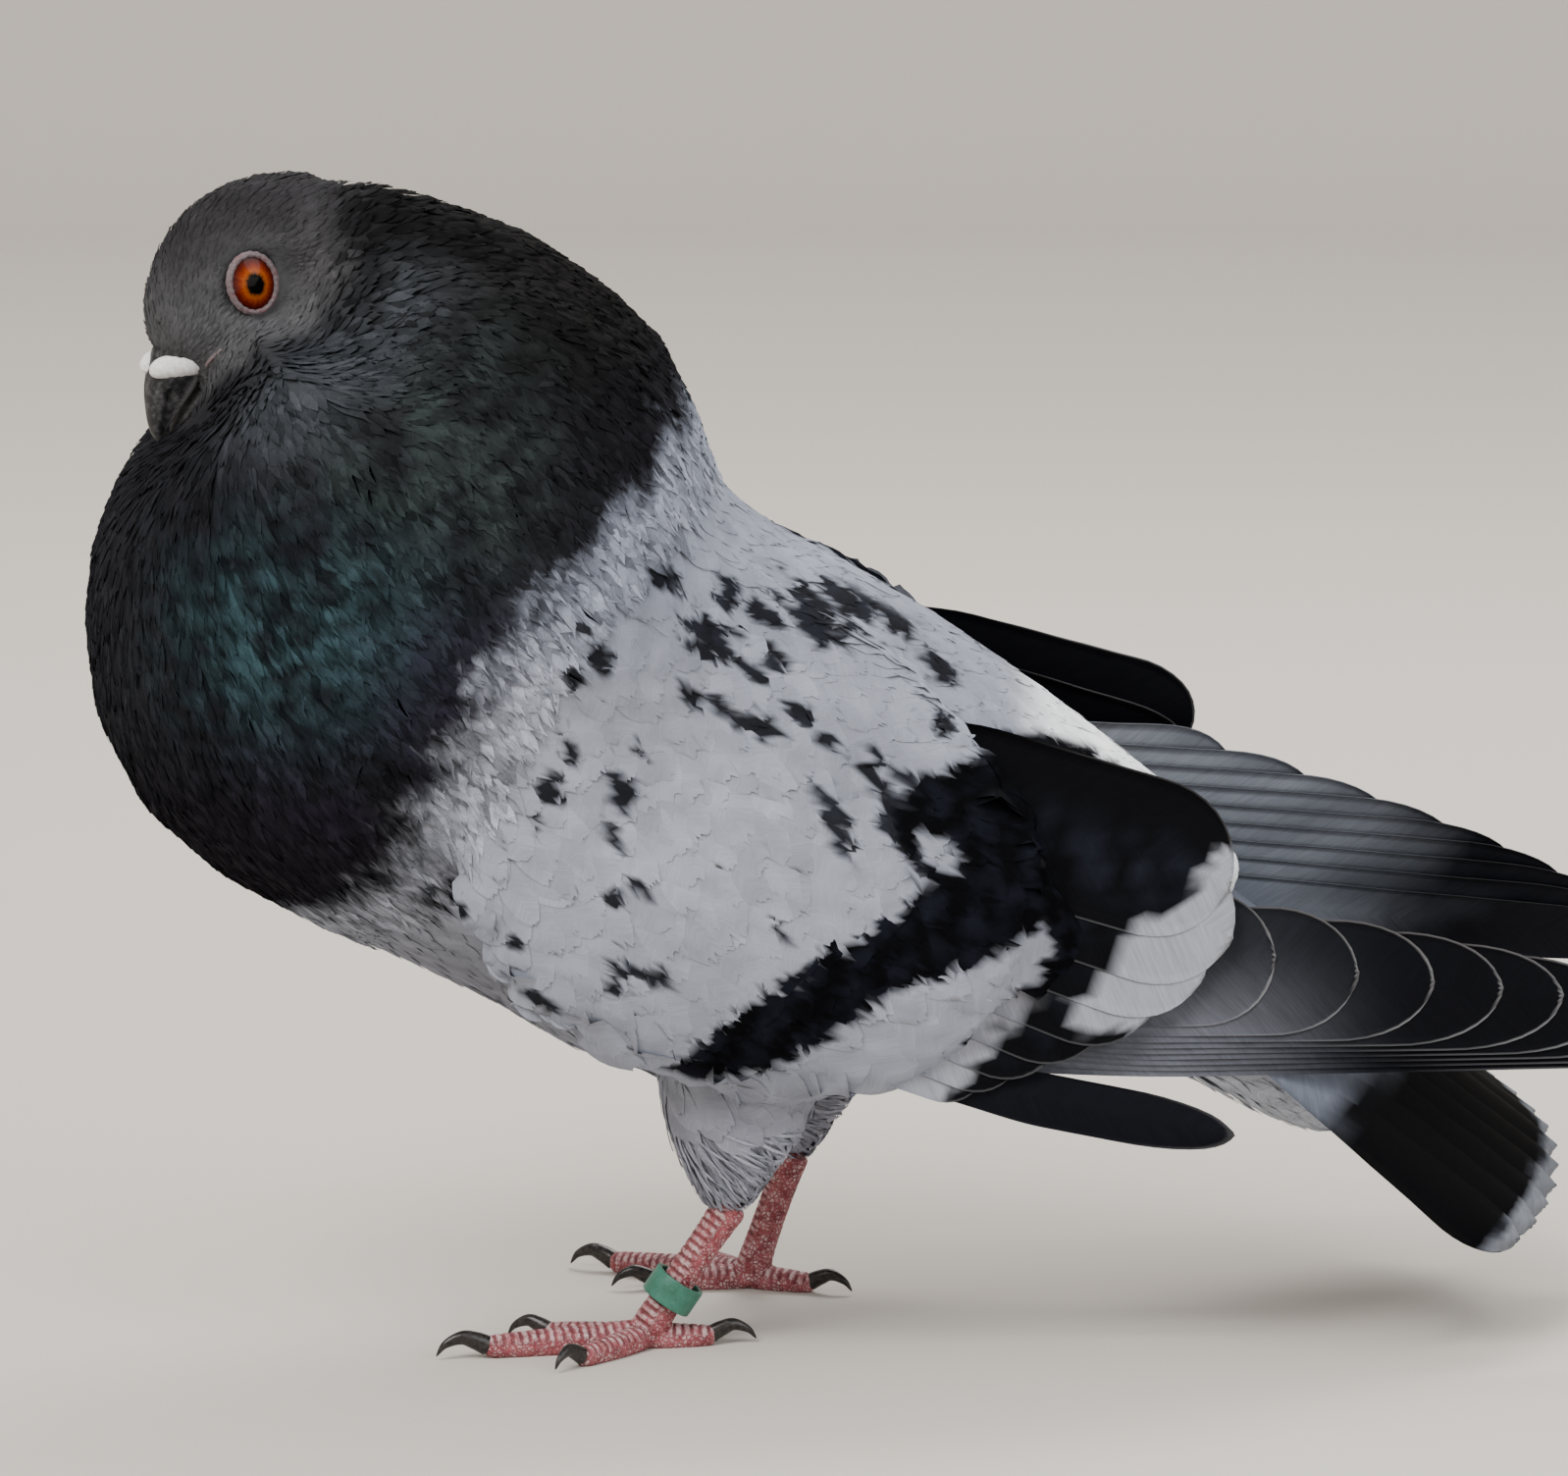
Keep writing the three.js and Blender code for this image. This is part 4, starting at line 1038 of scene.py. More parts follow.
def covert_row(name, tips, length, width, count, rise, row_way):
    """A row of broad coverts on the left wing. Roots lie back up the wing from the tips."""
    along = np.linspace(0, 1, count)
    tip = catmull([(x, -60, z) for x, z in tips], along)
    way = unit(catmull([(x, 0, z) for x, z in row_way], along))
    root = from_body(tip - way * length)
    found, _ = nearest_on_skin(root)
    # The root is moved so that it lies on the wing's outer face, not on the body within.
    start = from_body((tip - way * length) * [1, 0, 1] + [0, -90, 0])
    inward = unit(from_body([0, 1, 0]) - from_body([0, 0, 0]))
    for i, q in enumerate(start):
        hit, _, _, _ = tree.ray_cast(Vector(q), Vector(inward))
        if hit is not None:
            found[i] = hit
    size = np.full(count, float(length))
    vanes(name, found, size, np.full(count, float(width)), np.full(count, rise), BODY_COAT,
          22, 13, 0.008, sink=0.3, tip=0.62, turned=1.0, vary=0.03, keel=0.05, marks=0.0, streak=0.6,
          way=BODY_TURN @ way.T)


LOW_WAY = [(0.66, -0.75), (0.74, -0.68), (0.80, -0.60)]
covert_row("great_coverts", GREAT_TIPS, 30, 13, 12, 0.7, LOW_WAY)
covert_row("middle_coverts", MIDDLE_TIPS, 17, 11, 10, 0.9, [(0.62, -0.78), (0.8, -0.55)])

# ---- Wing and tail feathers ----

OUTWARD = np.array([0.1, -1, 0.45])
HAND = np.array([44.0, -39, 79])


def in_wing_plane(x, z, i=0.0):
    """A body-frame point on the plane the left wing's blades lie along, i layers beyond the first."""
    return np.array([x, HAND[1] + 0.1 * (x - HAND[0]) + 0.45 * (z - HAND[2]) + 0.5 * i, z])


def feathers(name, specs, material, rows=30, columns=13, shade=None):
    """Long feathers as thick vanes with a raised shaft, in one mesh.

    Each spec gives its root, tip, width, the share of its length over which the tip rounds, the way its face
    looks, how much it arches, and its place in the row.
    """
    points, faces, vane, where, start = [], [], [], [], 0
    marks = []
    for k, spec in enumerate(specs):
        root, tip = np.array(spec["root"], float), np.array(spec["tip"], float)
        axis = tip - root
        length = np.linalg.norm(axis)
        axis = axis / length
        face = np.array(spec["face"], float)
        face = unit(face - face @ axis * axis)
        across = np.cross(face, axis)
        round_share = spec.get("round", 0.16)
        width = spec["width"]
        seed = random.random() * 50
        end = 1 - round_share
        # Rows bunch towards the rounded tip.
        s = np.linspace(0, 1, rows)
        s = np.where(s < 0.7, s / 0.7 * end, end + (1 - end) * np.sin((s - 0.7) / 0.3 * math.pi / 2))
        rounded = np.sqrt(np.maximum(0, 1 - ((s - end) / round_share) ** 2))
        half = np.where(s < end, mix(0.62, 1.0, step(s, 0.0, 0.4)), rounded)
        half = 0.5 * width * np.maximum(half, 0.02)
        u = np.linspace(-1, 1, columns)
        uu, ss = np.meshgrid(u, s)
        hh = half[:, None] * np.ones_like(uu)
        # The shaft runs up the middle, and the vane arches a little on both sides of it.
        x = uu * hh
        # Distance to the outline, round the tip too.
        over = np.clip((ss - end) / round_share, 0, 1)
        gap = (1 - np.sqrt(uu * uu * (1 - over * over) + over * over)) * 0.5 * width
        notch = 0.5 * np.abs(np.sin(9.0 * uu + seed + 4 * ss)) * step(ss, 0.9, 1.0)
        arch = -spec["arch"] * width * uu * uu * (0.35 + 0.65 * ss)
        wave = 0.05 * np.sin(ss * 40 + seed) * np.abs(uu) + 0.05 * np.sin(ss * 17 + 2 * seed) * np.abs(uu)
        shaft = 0.22 * np.exp(-((uu * hh) / 0.55) ** 2) * (1 - 0.7 * ss)
        middle = root + ss[..., None] * length * axis + x[..., None] * across
        middle = middle - notch[..., None] * axis
        thick = 0.16 * (1 - 0.6 * np.abs(uu) ** 3) * (half > 0.05 * width)[:, None] + 0.04
        upper = middle + (arch + wave + thick + shaft)[..., None] * face
        lower = middle + (arch + wave - thick - 0.6 * shaft)[..., None] * face
        n = rows * columns
        both = np.vstack([upper.reshape(-1, 3), lower.reshape(-1, 3)])
        points.append(both)
        r, c = np.meshgrid(np.arange(rows - 1), np.arange(columns - 1), indexing="ij")
        q = (r * columns + c).ravel()
        quad = np.stack([q, q + 1, q + columns + 1, q + columns], 1)
        rim = []
        for line in (
            [r * columns for r in range(rows)], [r * columns + columns - 1 for r in range(rows)],
            list(range(columns)), [(rows - 1) * columns + c for c in range(columns)],
        ):
            a = np.array(line)
            rim.append(np.stack([a[:-1], a[1:], a[1:] + n, a[:-1] + n], 1))
        every = np.vstack([quad, quad[:, ::-1] + n, rim[0][:, ::-1], rim[1], rim[2], rim[3][:, ::-1]])
        faces.append(every + start)
        start += 2 * n
        measure = np.stack([x, ss * length, np.full_like(x, seed)], 2).reshape(-1, 3)
        vane.append(np.vstack([measure, measure]))
        for side in (1, 0):
            constant = [np.full_like(uu, value) for value in (k, side, length)]
            marks.append(np.stack([uu, ss, *constant[:2], gap, constant[2]], 2).reshape(-1, 6))
        where.append(np.stack([uu * 0.0015, ss * 0.003], 2).reshape(-1, 2))
        where[-1] = np.vstack([where[-1], where[-1] + [0.004, 0]]) + [0.03 + 0.02 * k, 0.0]
    points, faces, marks = np.vstack(points), np.vstack(faces), np.vstack(marks)
    piece = mesh_object(name, points, faces, material)
    # Outward faces, whichever way the wing was mirrored.
    if volume_of(points, faces) < 0:
        piece.data.flip_normals()
    tint, strength = shade(points, marks, specs)
    give(piece, "tint", "FLOAT_COLOR", np.clip(tint, 0, 1))
    give(piece, "edge", "FLOAT_VECTOR", np.stack([marks[:, 4], strength, 0 * strength], 1))
    give(piece, "vane", "FLOAT_VECTOR", np.vstack(vane))
    give_map(piece, np.vstack(where))
    print(name, len(specs), "feathers", len(faces) * 2, "triangles")
    return piece


def wing_row(side, specs):
    """The specs of a row of the left wing taken to the working frame, on the wing asked for."""
    out = []
    for spec in specs:
        ends = [spec["root"], spec["tip"]]
        face = np.array(spec.get("face", OUTWARD), float)
        if side == "right":
            ends = [right_wing(e) + [0, 0, mix(4, -3, spec["t"])] for e in ends]
            face = (face * [1, -1, 1]) @ RIGHT_WING_TURN.T
        root, tip = (from_body(e) for e in ends)
        out.append({**spec, "root": root, "tip": tip, "face": face @ BODY_TURN.T})
    return out


# Where the tips of the secondaries lie on the wing, from the innermost: how far back, and how high.
SECONDARY_TIPS = [(105, 91), (105, 82), (100, 76), (91, 71), (82, 68), (74, 65.5), (68, 63.5), (62, 62)]


def secondary(i, count=8):
    t = i / (count - 1)
    return {
        "root": in_wing_plane(mix(30, 22, t), mix(114, 76, t), i - 9),
        "tip": in_wing_plane(*SECONDARY_TIPS[i], i - 9),
        "width": mix(28, 18, t), "round": 0.2, "arch": 0.006, "t": t,
    }


def primary(i, lift, count=9):
    t = i / (count - 1)
    reach = 1 - (1 - t) ** 1.6
    return {
        "root": in_wing_plane(mix(44, 38, t), mix(79, 65, t) + lift, i),
        "tip": in_wing_plane(mix(113, 191, reach), mix(77, 61, t**0.8) + lift * mix(1, -1, t), i),
        "width": mix(24, 14, t), "round": mix(0.2, 0.13, t), "arch": 0.006, "t": t,
    }


PRIMARY_BLACK = np.array([0.0050, 0.0054, 0.0078])
PRIMARY_GREY = np.array([0.125, 0.130, 0.155])
PRIMARY_INSIDE = np.array([0.28, 0.31, 0.37])
PRIMARY_BASE = np.array([0.42, 0.46, 0.54])
SECONDARY_PALE = np.array([0.27, 0.28, 0.32])
TAIL_GREY = np.array([0.11, 0.122, 0.155])
TAIL_BAND = np.array([0.0010, 0.0011, 0.0016])
TAIL_TIP = np.array([0.16, 0.17, 0.19])
TAIL_EDGE = np.array([0.26, 0.28, 0.34])


def shade_primaries(points, marks, specs):
    uu, ss, upper = marks[:, 0], marks[:, 1], marks[:, 3] > 0.5
    count = len(points)
    t = np.array([specs[int(k)]["t"] for k in marks[:, 2]])
    right = points[:, 1].mean() > 0
    low_edge = uu if right else -uu
    to_tip = (1 - ss) * marks[:, 5]
    colour = np.tile(PRIMARY_BLACK, (count, 1))
    # Towards the body the vane on the leading edge is grey.
    b = to_body(points)
    grey = (0.25 + 0.75 * step(-b[:, 2], -82, -64)) * (1 - step(b[:, 0], 82, 140)) * (0.75 + 0.25 * low_edge)
    grey = grey * (0.0 if len(specs) == 1 else 1.0)
    colour = blend(colour, PRIMARY_GREY, np.clip(grey, 0, 1))
    colour = blend(colour, PRIMARY_BLACK * 0.6, step(b[:, 0], 110, 150))
    strength = step(ss, 0.62, 0.8) * np.where(upper, 0.6, 0.0) * (0.3 if len(specs) == 1 or right else 1.0)
    strength = strength * (1 - 0.6 * step(low_edge, 0.9, 0.98) * step(-ss, -0.93, -0.86))
    x = points[:, 0]
    below = blend(np.tile(PRIMARY_INSIDE, (count, 1)), PRIMARY_BASE, 1 - step(x, 80, 115))
    dark = np.maximum(step(x + 6 * lumps(points, 20, 21), 112, 158), step(-to_tip, -22, -6) * (0.4 + 0.6 * t))
    below = blend(below, PRIMARY_BLACK * 1.6, np.maximum(dark, 0.4 * step(-low_edge, 0.86, 0.97)))
    return np.where(upper[:, None], colour, below), strength


def shade_secondaries(points, marks, specs):
    ss, upper = marks[:, 1], marks[:, 3] > 0.5
    count = len(points)
    t = np.array([specs[int(k)]["t"] for k in marks[:, 2]])
    b = to_body(points)
    if points[:, 1].mean() > 0:
        b = (b - SHOULDER) @ RIGHT_WING_TURN + SHOULDER
    x, z = b[:, 0] + 1.2 * lumps(points, 3, 12), b[:, 2] + 0.8 * lumps(points, 3, 13)
    stripe = step(outline_depth(STRIPE_PALE, x, z), -0.5, 0.8) * step(-x, -72, -69)
    pale = np.maximum(step(outline_depth(TERTIAL_PALE, x, z), -0.5, 0.8), stripe)
    # Painted sheen: each black feather lighter slate-blue towards its middle, in patches, standing in for its
    # gloss.
    painted_sheen = step(-np.abs(marks[:, 0] + 0.2), -0.8, 0.0) * np.clip(0.6 + 0.9 * lumps(points, 7, 52), 0, 1.3)
    dark = BLACK * (1.0 + [2.2, 2.45, 3.1] * painted_sheen[:, None])
    colour = blend(dark, np.tile(SECONDARY_PALE, (count, 1)), pale)
    inside_dark = np.maximum(step(-t, -0.45, -0.3), step(ss, 0.6, 0.9))
    below = blend(np.tile(PRIMARY_INSIDE, (count, 1)), BLACK * 3, inside_dark)
    strength = np.where(upper, 0.22, 0.6) * step(ss, 0.4, 0.7) * (1 - pale)
    return np.where(upper[:, None], colour, below), strength


def shade_tail(points, marks, specs):
    uu, ss, upper = marks[:, 0], marks[:, 1], marks[:, 3] > 0.5
    off = np.array([specs[int(k)]["off"] for k in marks[:, 2]])
    to_tip = (1 - ss) * marks[:, 5]
    ripple = 1.3 * lumps(points, 6, 14)
    colour = np.tile(TAIL_GREY, (len(points), 1)) * np.where(upper, 1.0, 1.5)[:, None]
    outer = step(np.abs(off), 0.85, 0.95) * step(uu * -np.sign(off), 0.0, 0.25)
    colour = blend(colour, TAIL_EDGE, outer)
    band = step(to_tip + ripple, 2.0, 5.0) * step(-to_tip - ripple, -44, -37)
    colour = blend(colour, TAIL_BAND, band)
    return blend(colour, TAIL_TIP, 0.8 * step(-to_tip - ripple, -4.5, -2.0)), 0 * ss


FLIGHT = feather_material("flight_feathers", 0.6, 0.03, 0.8, 0.8, fringe=True)
TAIL = feather_material("tail_feathers", 0.65, 0.03, 0.8, 0.8, fringe=True)
for side, lift in (("left", 0.0), ("right", 6.0)):
    rows = wing_row(side, [primary(i, lift) for i in range(9)])
    piece = feathers("primaries_" + side, rows, FLIGHT, shade=shade_primaries)
    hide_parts("wing_primaries_" + side)
    rows = wing_row(side, [secondary(i) for i in range(8)])
    piece = feathers("secondaries_" + side, rows, FLIGHT, shade=shade_secondaries)
    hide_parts("wing_arm_" + side)
loose = wing_row("left", [{
    "root": in_wing_plane(50, 60.5), "tip": in_wing_plane(105, 48.5), "width": 9.5, "round": 0.35,
    "arch": 0.08, "t": 0.0,
}])
piece = feathers("loose_feather", loose, FLIGHT, shade=shade_primaries)
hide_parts("wing_loose_feather_left")

TAIL_PLACE = np.array([84.0, 0, 96])
TAIL_LOWERED = turn("y", 38)
TAIL_TURN = BODY_TURN @ TAIL_LOWERED


def from_tail(p):
    return from_body(p @ TAIL_LOWERED.T + TAIL_PLACE)


blades = []
for i in range(12):
    off = 2 * i / 11 - 1
    angle = math.radians(20 * off)
    length = 110 * (1 - 0.04 * off * off)
    root = np.array([0, 10 * off, -3 * abs(off) - 6 * off * off])
    tip = root + [length * math.cos(angle), length * math.sin(angle), 0]
    blades.append({
        "root": from_tail(root), "tip": from_tail(tip),
        "face": TAIL_TURN @ [0, 0.35 * off, 1], "width": 23, "round": 0.13, "arch": 0.1, "off": off,
    })
piece = feathers("tail_fan", blades, TAIL, shade=shade_tail)
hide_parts("tail")


def shade_rump(points, marks, specs):
    colour = blend(np.tile(WHITE_RUMP * 0.8, (len(points), 1)), TAIL_GREY * 2.0, step(marks[:, 1], 0.55, 1.0))
    return colour, 0 * marks[:, 1]


# Coverts over the base of the tail, above and below it.
rows = []
for layer, reach in ((0, 20), (1, 10)):
    for i in range(9 - layer):
        off = 2 * i / (8 - layer) - 1
        high = 3.5 + 1.2 * layer - 3 * abs(off)
        root, tip = np.array([-16, 8.5 * off, high]), np.array([reach - 5 * off * off, 14 * off, high - 1.5])
        rows.append({
            "root": from_tail(root), "tip": from_tail(tip),
            "face": TAIL_TURN @ [0, 0.35 * off, 1], "width": 12, "round": 0.3, "arch": 0.1,
        })
feathers("uppertail_coverts", rows, TAIL, shade=shade_rump)

# ---- Face ----


def grid_object(name, points, material, closed=False):
    """A mesh over a grid of points: rows, then columns, joined round if closed."""
    rows, columns = points.shape[:2]
    r = np.arange(rows - 1)[:, None]
    c = np.arange(columns if closed else columns - 1)[None, :]
    d = (c + 1) % columns
    faces = np.stack([r * columns + c, r * columns + d, (r + 1) * columns + d, (r + 1) * columns + c], 2)
    return mesh_object(name, points.reshape(-1, 3), faces.reshape(-1, 4), material)


def outward(piece):
    """Turns the piece's faces outward, judged by the volume they enclose."""
    mesh = piece.data
    mesh.calc_loop_triangles()
    p = np.zeros(len(mesh.vertices) * 3, np.float32)
    mesh.vertices.foreach_get("co", p)
    p = p.reshape(-1, 3).astype(float)
    p -= p.mean(0)
    t = np.zeros(len(mesh.loop_triangles) * 3, np.int32)
    mesh.loop_triangles.foreach_get("vertices", t)
    t = t.reshape(-1, 3)
    if np.einsum("ij,ij->i", p[t[:, 0]], np.cross(p[t[:, 1]], p[t[:, 2]])).sum() < 0:
        mesh.flip_normals()


def eye_material():
    """Iris, pupil and rim, from the distance to the eye's axis, under a wet cornea."""
    n = Nodes("eye", 0.25)
    far, around, _ = (n.add("SeparateXYZ", {0: n.attribute("iris", "Vector")}, i) for i in range(3))
    spokes = n.noise(n.add("CombineXYZ", {
        0: n.math("MULTIPLY", n.math("COSINE", around), 9.0),
        1: n.math("MULTIPLY", n.math("SINE", around), 9.0),
        2: n.math("MULTIPLY", far, 0.5),
    }), 1.0, 3.0)
    depth = n.math("ADD", far, n.ranged(spokes, 0.3, 0.7, -0.28, 0.28))
    ramp = n.tree.nodes.new("ShaderNodeValToRGB")
    n.link(n.math("DIVIDE", depth, 5.0), ramp.inputs[0])
    stops = [
        (0.0, (0.001, 0.001, 0.001)), (0.32, (0.001, 0.001, 0.001)), (0.36, (0.12, 0.030, 0.003)),
        (0.46, (0.30, 0.062, 0.003)), (0.56, (0.20, 0.024, 0.001)), (0.70, (0.085, 0.006, 0.001)),
        (0.86, (0.030, 0.002, 0.001)), (0.96, (0.004, 0.001, 0.001)),
    ]
    elements = ramp.color_ramp.elements
    while len(elements) < len(stops):
        elements.new(0.5)
    for element, (at, colour) in zip(elements, stops):
        element.position = at
        element.color = (*colour, 1)
    n.link(ramp.outputs[0], n.shader.inputs["Base Color"])
    n.shader.inputs["Coat Weight"].default_value = 0.45
    n.shader.inputs["Coat Roughness"].default_value = 0.03
    n.shader.inputs["Coat IOR"].default_value = 1.34
    n.shader.inputs["Specular IOR Level"].default_value = 0.05
    return n.material


def lid_material():
    n = Nodes("orbital_skin", 0.6)
    fine = n.noise(n.place(), 2600.0, 4.0, 0.65)
    wide = n.noise(n.place(), 500.0, 2.0)
    pale = n.mixed(n.ranged(fine, 0.35, 0.65), (0.10, 0.075, 0.082, 1), (0.20, 0.16, 0.17, 1))
    n.link(n.mixed(n.ranged(wide, 0.52, 0.8), pale, (0.20, 0.07, 0.07, 1)), n.shader.inputs["Base Color"])
    n.bump(fine, 0.6, 0.0003)
    n.shader.inputs["Specular IOR Level"].default_value = 0.3
    return n.material


def eye(side, name):
    """The ball with its iris, and the ring of bare skin round it."""
    theta = np.linspace(0, 2 * np.pi, 97)[:-1]
    x0, z0 = EYE_PLACE[0] - 0.7, EYE_PLACE[2] + 0.95
    lean = (math.cos(math.radians(34)), math.sin(math.radians(34)))

    def placed(r, t, proud):
        short, long = 0.92 * r * np.cos(t), 1.13 * r * np.sin(t)
        x, z = x0 + lean[0] * short + lean[1] * long, z0 - lean[1] * short + lean[0] * long
        h = np.stack([x, 0 * short, z], -1)
        h[..., 1] = side * (eye_plane(h) + proud)
        return h

    # The ball: a dome whose top stands about a millimetre proud of the ring.
    radii = np.concatenate([np.linspace(0.02, 4.2, 26), [4.6, 5.0]])
    points = np.stack([
        placed(r, theta, 0.75 - 0.058 * r * r - (0.5 * (r - 4.2) if r > 4.3 else 0)) for r in radii
    ])
    measure = np.stack([np.stack([r + 0 * theta, theta, 0 * theta], 1) for r in radii])
    ball = grid_object("eyeball_" + name, from_head(points), EYE, closed=True)
    give(ball, "iris", "FLOAT_VECTOR", measure.reshape(-1, 3))
    # The ring: an uneven roll of skin, broken by fine folds, with its outer edge down on the face.
    turns = np.linspace(0, 2 * np.pi, 17)[:-1]
    rows = []
    for t in np.linspace(0, 2 * np.pi, 193):
        thick = 0.36 + 0.04 * math.sin(5 * t + 1) + 0.03 * math.sin(29 * t)
        wide = 0.56 + 0.07 * math.sin(2 * t + 2.2) + 0.05 * math.sin(21 * t)
        r = 4.72 + wide * np.cos(turns)
        rows.append(placed(r, t + 0 * r, -0.28 + thick * np.sin(turns) - 0.22 * (r > 4.9)))
    ring = grid_object("eyelid_ring_" + name, from_head(np.stack(rows)), LID, closed=True)
    for piece in (ball, ring):
        outward(piece)
    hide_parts("eye_" + name)


EYE, LID = eye_material(), lid_material()
eye(-1, "left")
eye(1, "right")


def cere_material():
    n = Nodes("cere", 0.8)
    grain = n.noise(n.place(), 2200.0, 4.0, 0.6)
    colour = n.mixed(n.ranged(grain, 0.3, 0.7), (0.66, 0.63, 0.62, 1), (0.90, 0.89, 0.88, 1))
    n.link(colour, n.shader.inputs["Base Color"])
    n.bump(grain, 0.5, 0.0003)
    return n.material


def horn_material(name, dark, pale, roughness):
    n = Nodes(name, roughness)
    flake = n.noise(n.place(), 700.0, 5.0, 0.65)
    fine = n.noise(n.place(), 3000.0, 3.0)
    colour = n.mixed(n.ranged(flake, 0.45, 0.78), (*dark, 1), (*pale, 1))
    worn = n.math("MULTIPLY", n.attribute("wear", "Fac"), n.ranged(fine, 0.2, 0.6))
    colour = n.mixed(worn, colour, (0.34, 0.33, 0.34, 1))
    n.link(colour, n.shader.inputs["Base Color"])
    n.bump(flake, 0.25, 0.0003)
    n.shader.inputs["Specular IOR Level"].default_value = 0.3
    return n.material


def lobe(side, name):
    """One lobe of the cere, a bean that slants down from the ridge of the bill to the gape."""
    u, v = np.linspace(0, math.pi, 41), np.linspace(0, 2 * math.pi, 49)[:-1]
    uu, vv = np.meshgrid(u, v, indexing="ij")
    along = 0.35 - np.cos(uu) * 4.55
    fat = np.sin(uu) ** 0.8 * (1 + 0.10 * np.sin(2 * vv + 1))
    out, up = fat * 2.0 * np.cos(vv), fat * 2.75 * np.sin(vv) - 0.25
    up = up + 0.35 * (1 - (along / 5) ** 2) + np.where(up < 0, 0.15 * np.abs(up), 0)
    folds = 0.06 * np.sin(along * 5 + 3 * vv) * np.sin(uu) + 0.05 * np.sin(7 * vv + 2 * along)
    out = out + folds
    pitch = math.radians(52)
    x = -19.5 + along * math.cos(pitch) + up * math.sin(pitch)
    z = 0.9 - along * math.sin(pitch) + up * math.cos(pitch)
    y = 2.6 + out + 0.20 * along
    y = np.maximum(y, 0.22)
    places = from_head(np.stack([x, side * y, z], 2))
    piece = grid_object("cere_lobe_" + name, places, CERE, closed=True)
    outward(piece)
    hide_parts("cere_" + name)


CERE = cere_material()
lobe(-1, "left")
lobe(1, "right")

UPPER_BILL = [
    ((-15, 5), (-15, -4.6), 4.8), ((-20, 4), (-20, -5), 4.3), ((-24.5, 2.2), (-24, -5), 3.4),
    ((-28, -0.4), (-27.5, -5), 2.4), ((-30.6, -3), (-29.6, -5.3), 1.4), ((-31.7, -5.5), (-31, -6.1), 0.5),
]
LOWER_BILL = [
    ((-14, -5.3), (-14, -9.4), 4.6), ((-19, -5.6), (-18.6, -9.6), 4.0), ((-23.5, -5.7), (-23, -9.2), 3.0),
    ((-27, -6), (-26.6, -8.4), 1.8), ((-28.8, -6.4), (-28.6, -7.6), 0.7),
]


def bill_half(name, sections, upper):
    """Half of the bill, swept through its sections, flat along its cutting edge."""
    t = np.linspace(0, 1, 70)
    top = catmull([(a[0], 0, a[1]) for a, _, _ in sections], t)
    low = catmull([(b[0], 0, b[1]) for _, b, _ in sections], t)
    side = smooth_row([s for _, _, s in sections], t)
    v = np.linspace(0, 2 * math.pi, 49)[:-1]
    flat = -1 if upper else 1
    points = np.zeros((70, 48, 3))
    for i in range(70):
        c, s = np.cos(v), np.sin(v)
        # A full side that turns in sharply at the cutting edge.
        up = np.where(s * flat > 0, s * 1.0, s)
        across = np.sign(c) * np.abs(c) ** np.where(s * flat > 0, 0.55, 0.85)
        up = np.where(s * flat > 0, np.sign(s) * np.abs(s) ** 0.8, up)
        middle, span = (top[i] + low[i]) / 2, (top[i] - low[i]) / 2
        points[i] = middle + up[:, None] * span
        points[i, :, 1] = across * side[i]
        if upper:
            # The slit of the nostril under the cere, and the groove that runs on from it.
            slit = np.exp(-((t[i] - 0.40) / 0.07) ** 2) * np.exp(-((up - 0.05) / 0.20) ** 2)
            groove = 0.5 * np.exp(-((t[i] - 0.52) / 0.12) ** 2) * np.exp(-((up - 0.0) / 0.22) ** 2)
            points[i, :, 1] *= 1 - 0.30 * slit - 0.10 * groove
    tip = points[-1].mean(0) + [-0.15, 0, -0.25 if upper else 0]
    points = np.concatenate([points, np.broadcast_to(tip + (points[-1] - tip) * 0.4, (1, 48, 3)),
                             np.broadcast_to(tip, (1, 48, 3)) + 0.02 * (points[-1] - tip)[None]])
    piece = grid_object(name, from_head(points), HORN, closed=True)
    outward(piece)
    edge = np.abs(np.concatenate([np.tile(np.sin(v)[None], (70, 1)), np.zeros((2, 48))]) - flat * 0.75)
    along = np.concatenate([t, [1, 1]])[:, None]
    wear = step(-edge, -0.45, -0.1) * (1 - 0.6 * step(along, 0.45, 0.8)) * (1.0 if upper else 0.15)
    give(piece, "wear", "FLOAT", wear.reshape(-1, 1))
    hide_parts(name.replace("horn", "bill"))


HORN = horn_material("bill_horn", (0.010, 0.010, 0.012), (0.10, 0.099, 0.105), 0.5)
bill_half("horn_upper", UPPER_BILL, True)
bill_half("horn_lower", LOWER_BILL, False)


def rod(path, radii, around=16, stations=60, squash=1.0, ends=True):
    """The surface of a round rod along a smooth path, with rounded ends, as a grid of points."""
    t = np.linspace(0, 1, stations)
    line = catmull(path, t)
    r = smooth_row(radii, t)
    if ends:
        cap = np.sqrt(np.clip(1 - (1 - np.minimum(t, 1 - t) * 14).clip(0, 1) ** 2, 0.0004, 1))
        r = r * cap
    way = unit(np.gradient(line, axis=0))
    side = unit(np.cross(way, np.tile([0.0, 0, 1], (stations, 1)) + 1e-4))
    up = np.cross(side, way)
    v = np.linspace(0, 2 * math.pi, around + 1)[:-1]
    return line[:, None] + r[:, None, None] * (
        side[:, None] * np.cos(v)[None, :, None] + squash * up[:, None] * np.sin(v)[None, :, None]
    )


def swept(name, path, radii, material, slot, **shape):
    """A rod as a piece of its own."""
    piece = grid_object(name, rod(path, radii, **shape), material, closed=True)
    outward(piece)
    return piece


# The pale fold of skin at each corner of the mouth.
for side, name in ((-1, "left"), (1, "right")):
    fold = [(-16.6, 6.0, -2.5), (-15.2, 6.9, -2.1), (-13.4, 8.1, -2.0), (-11.8, 8.9, -2.6)]
    path = from_head([(x, side * y, z) for x, y, z in fold])
    swept("gape_fold_" + name, path, [0.25, 0.4, 0.35, 0.2], LID, "head_plumage")


# ---- Feet, claws and the leg ring, in the working frame ----

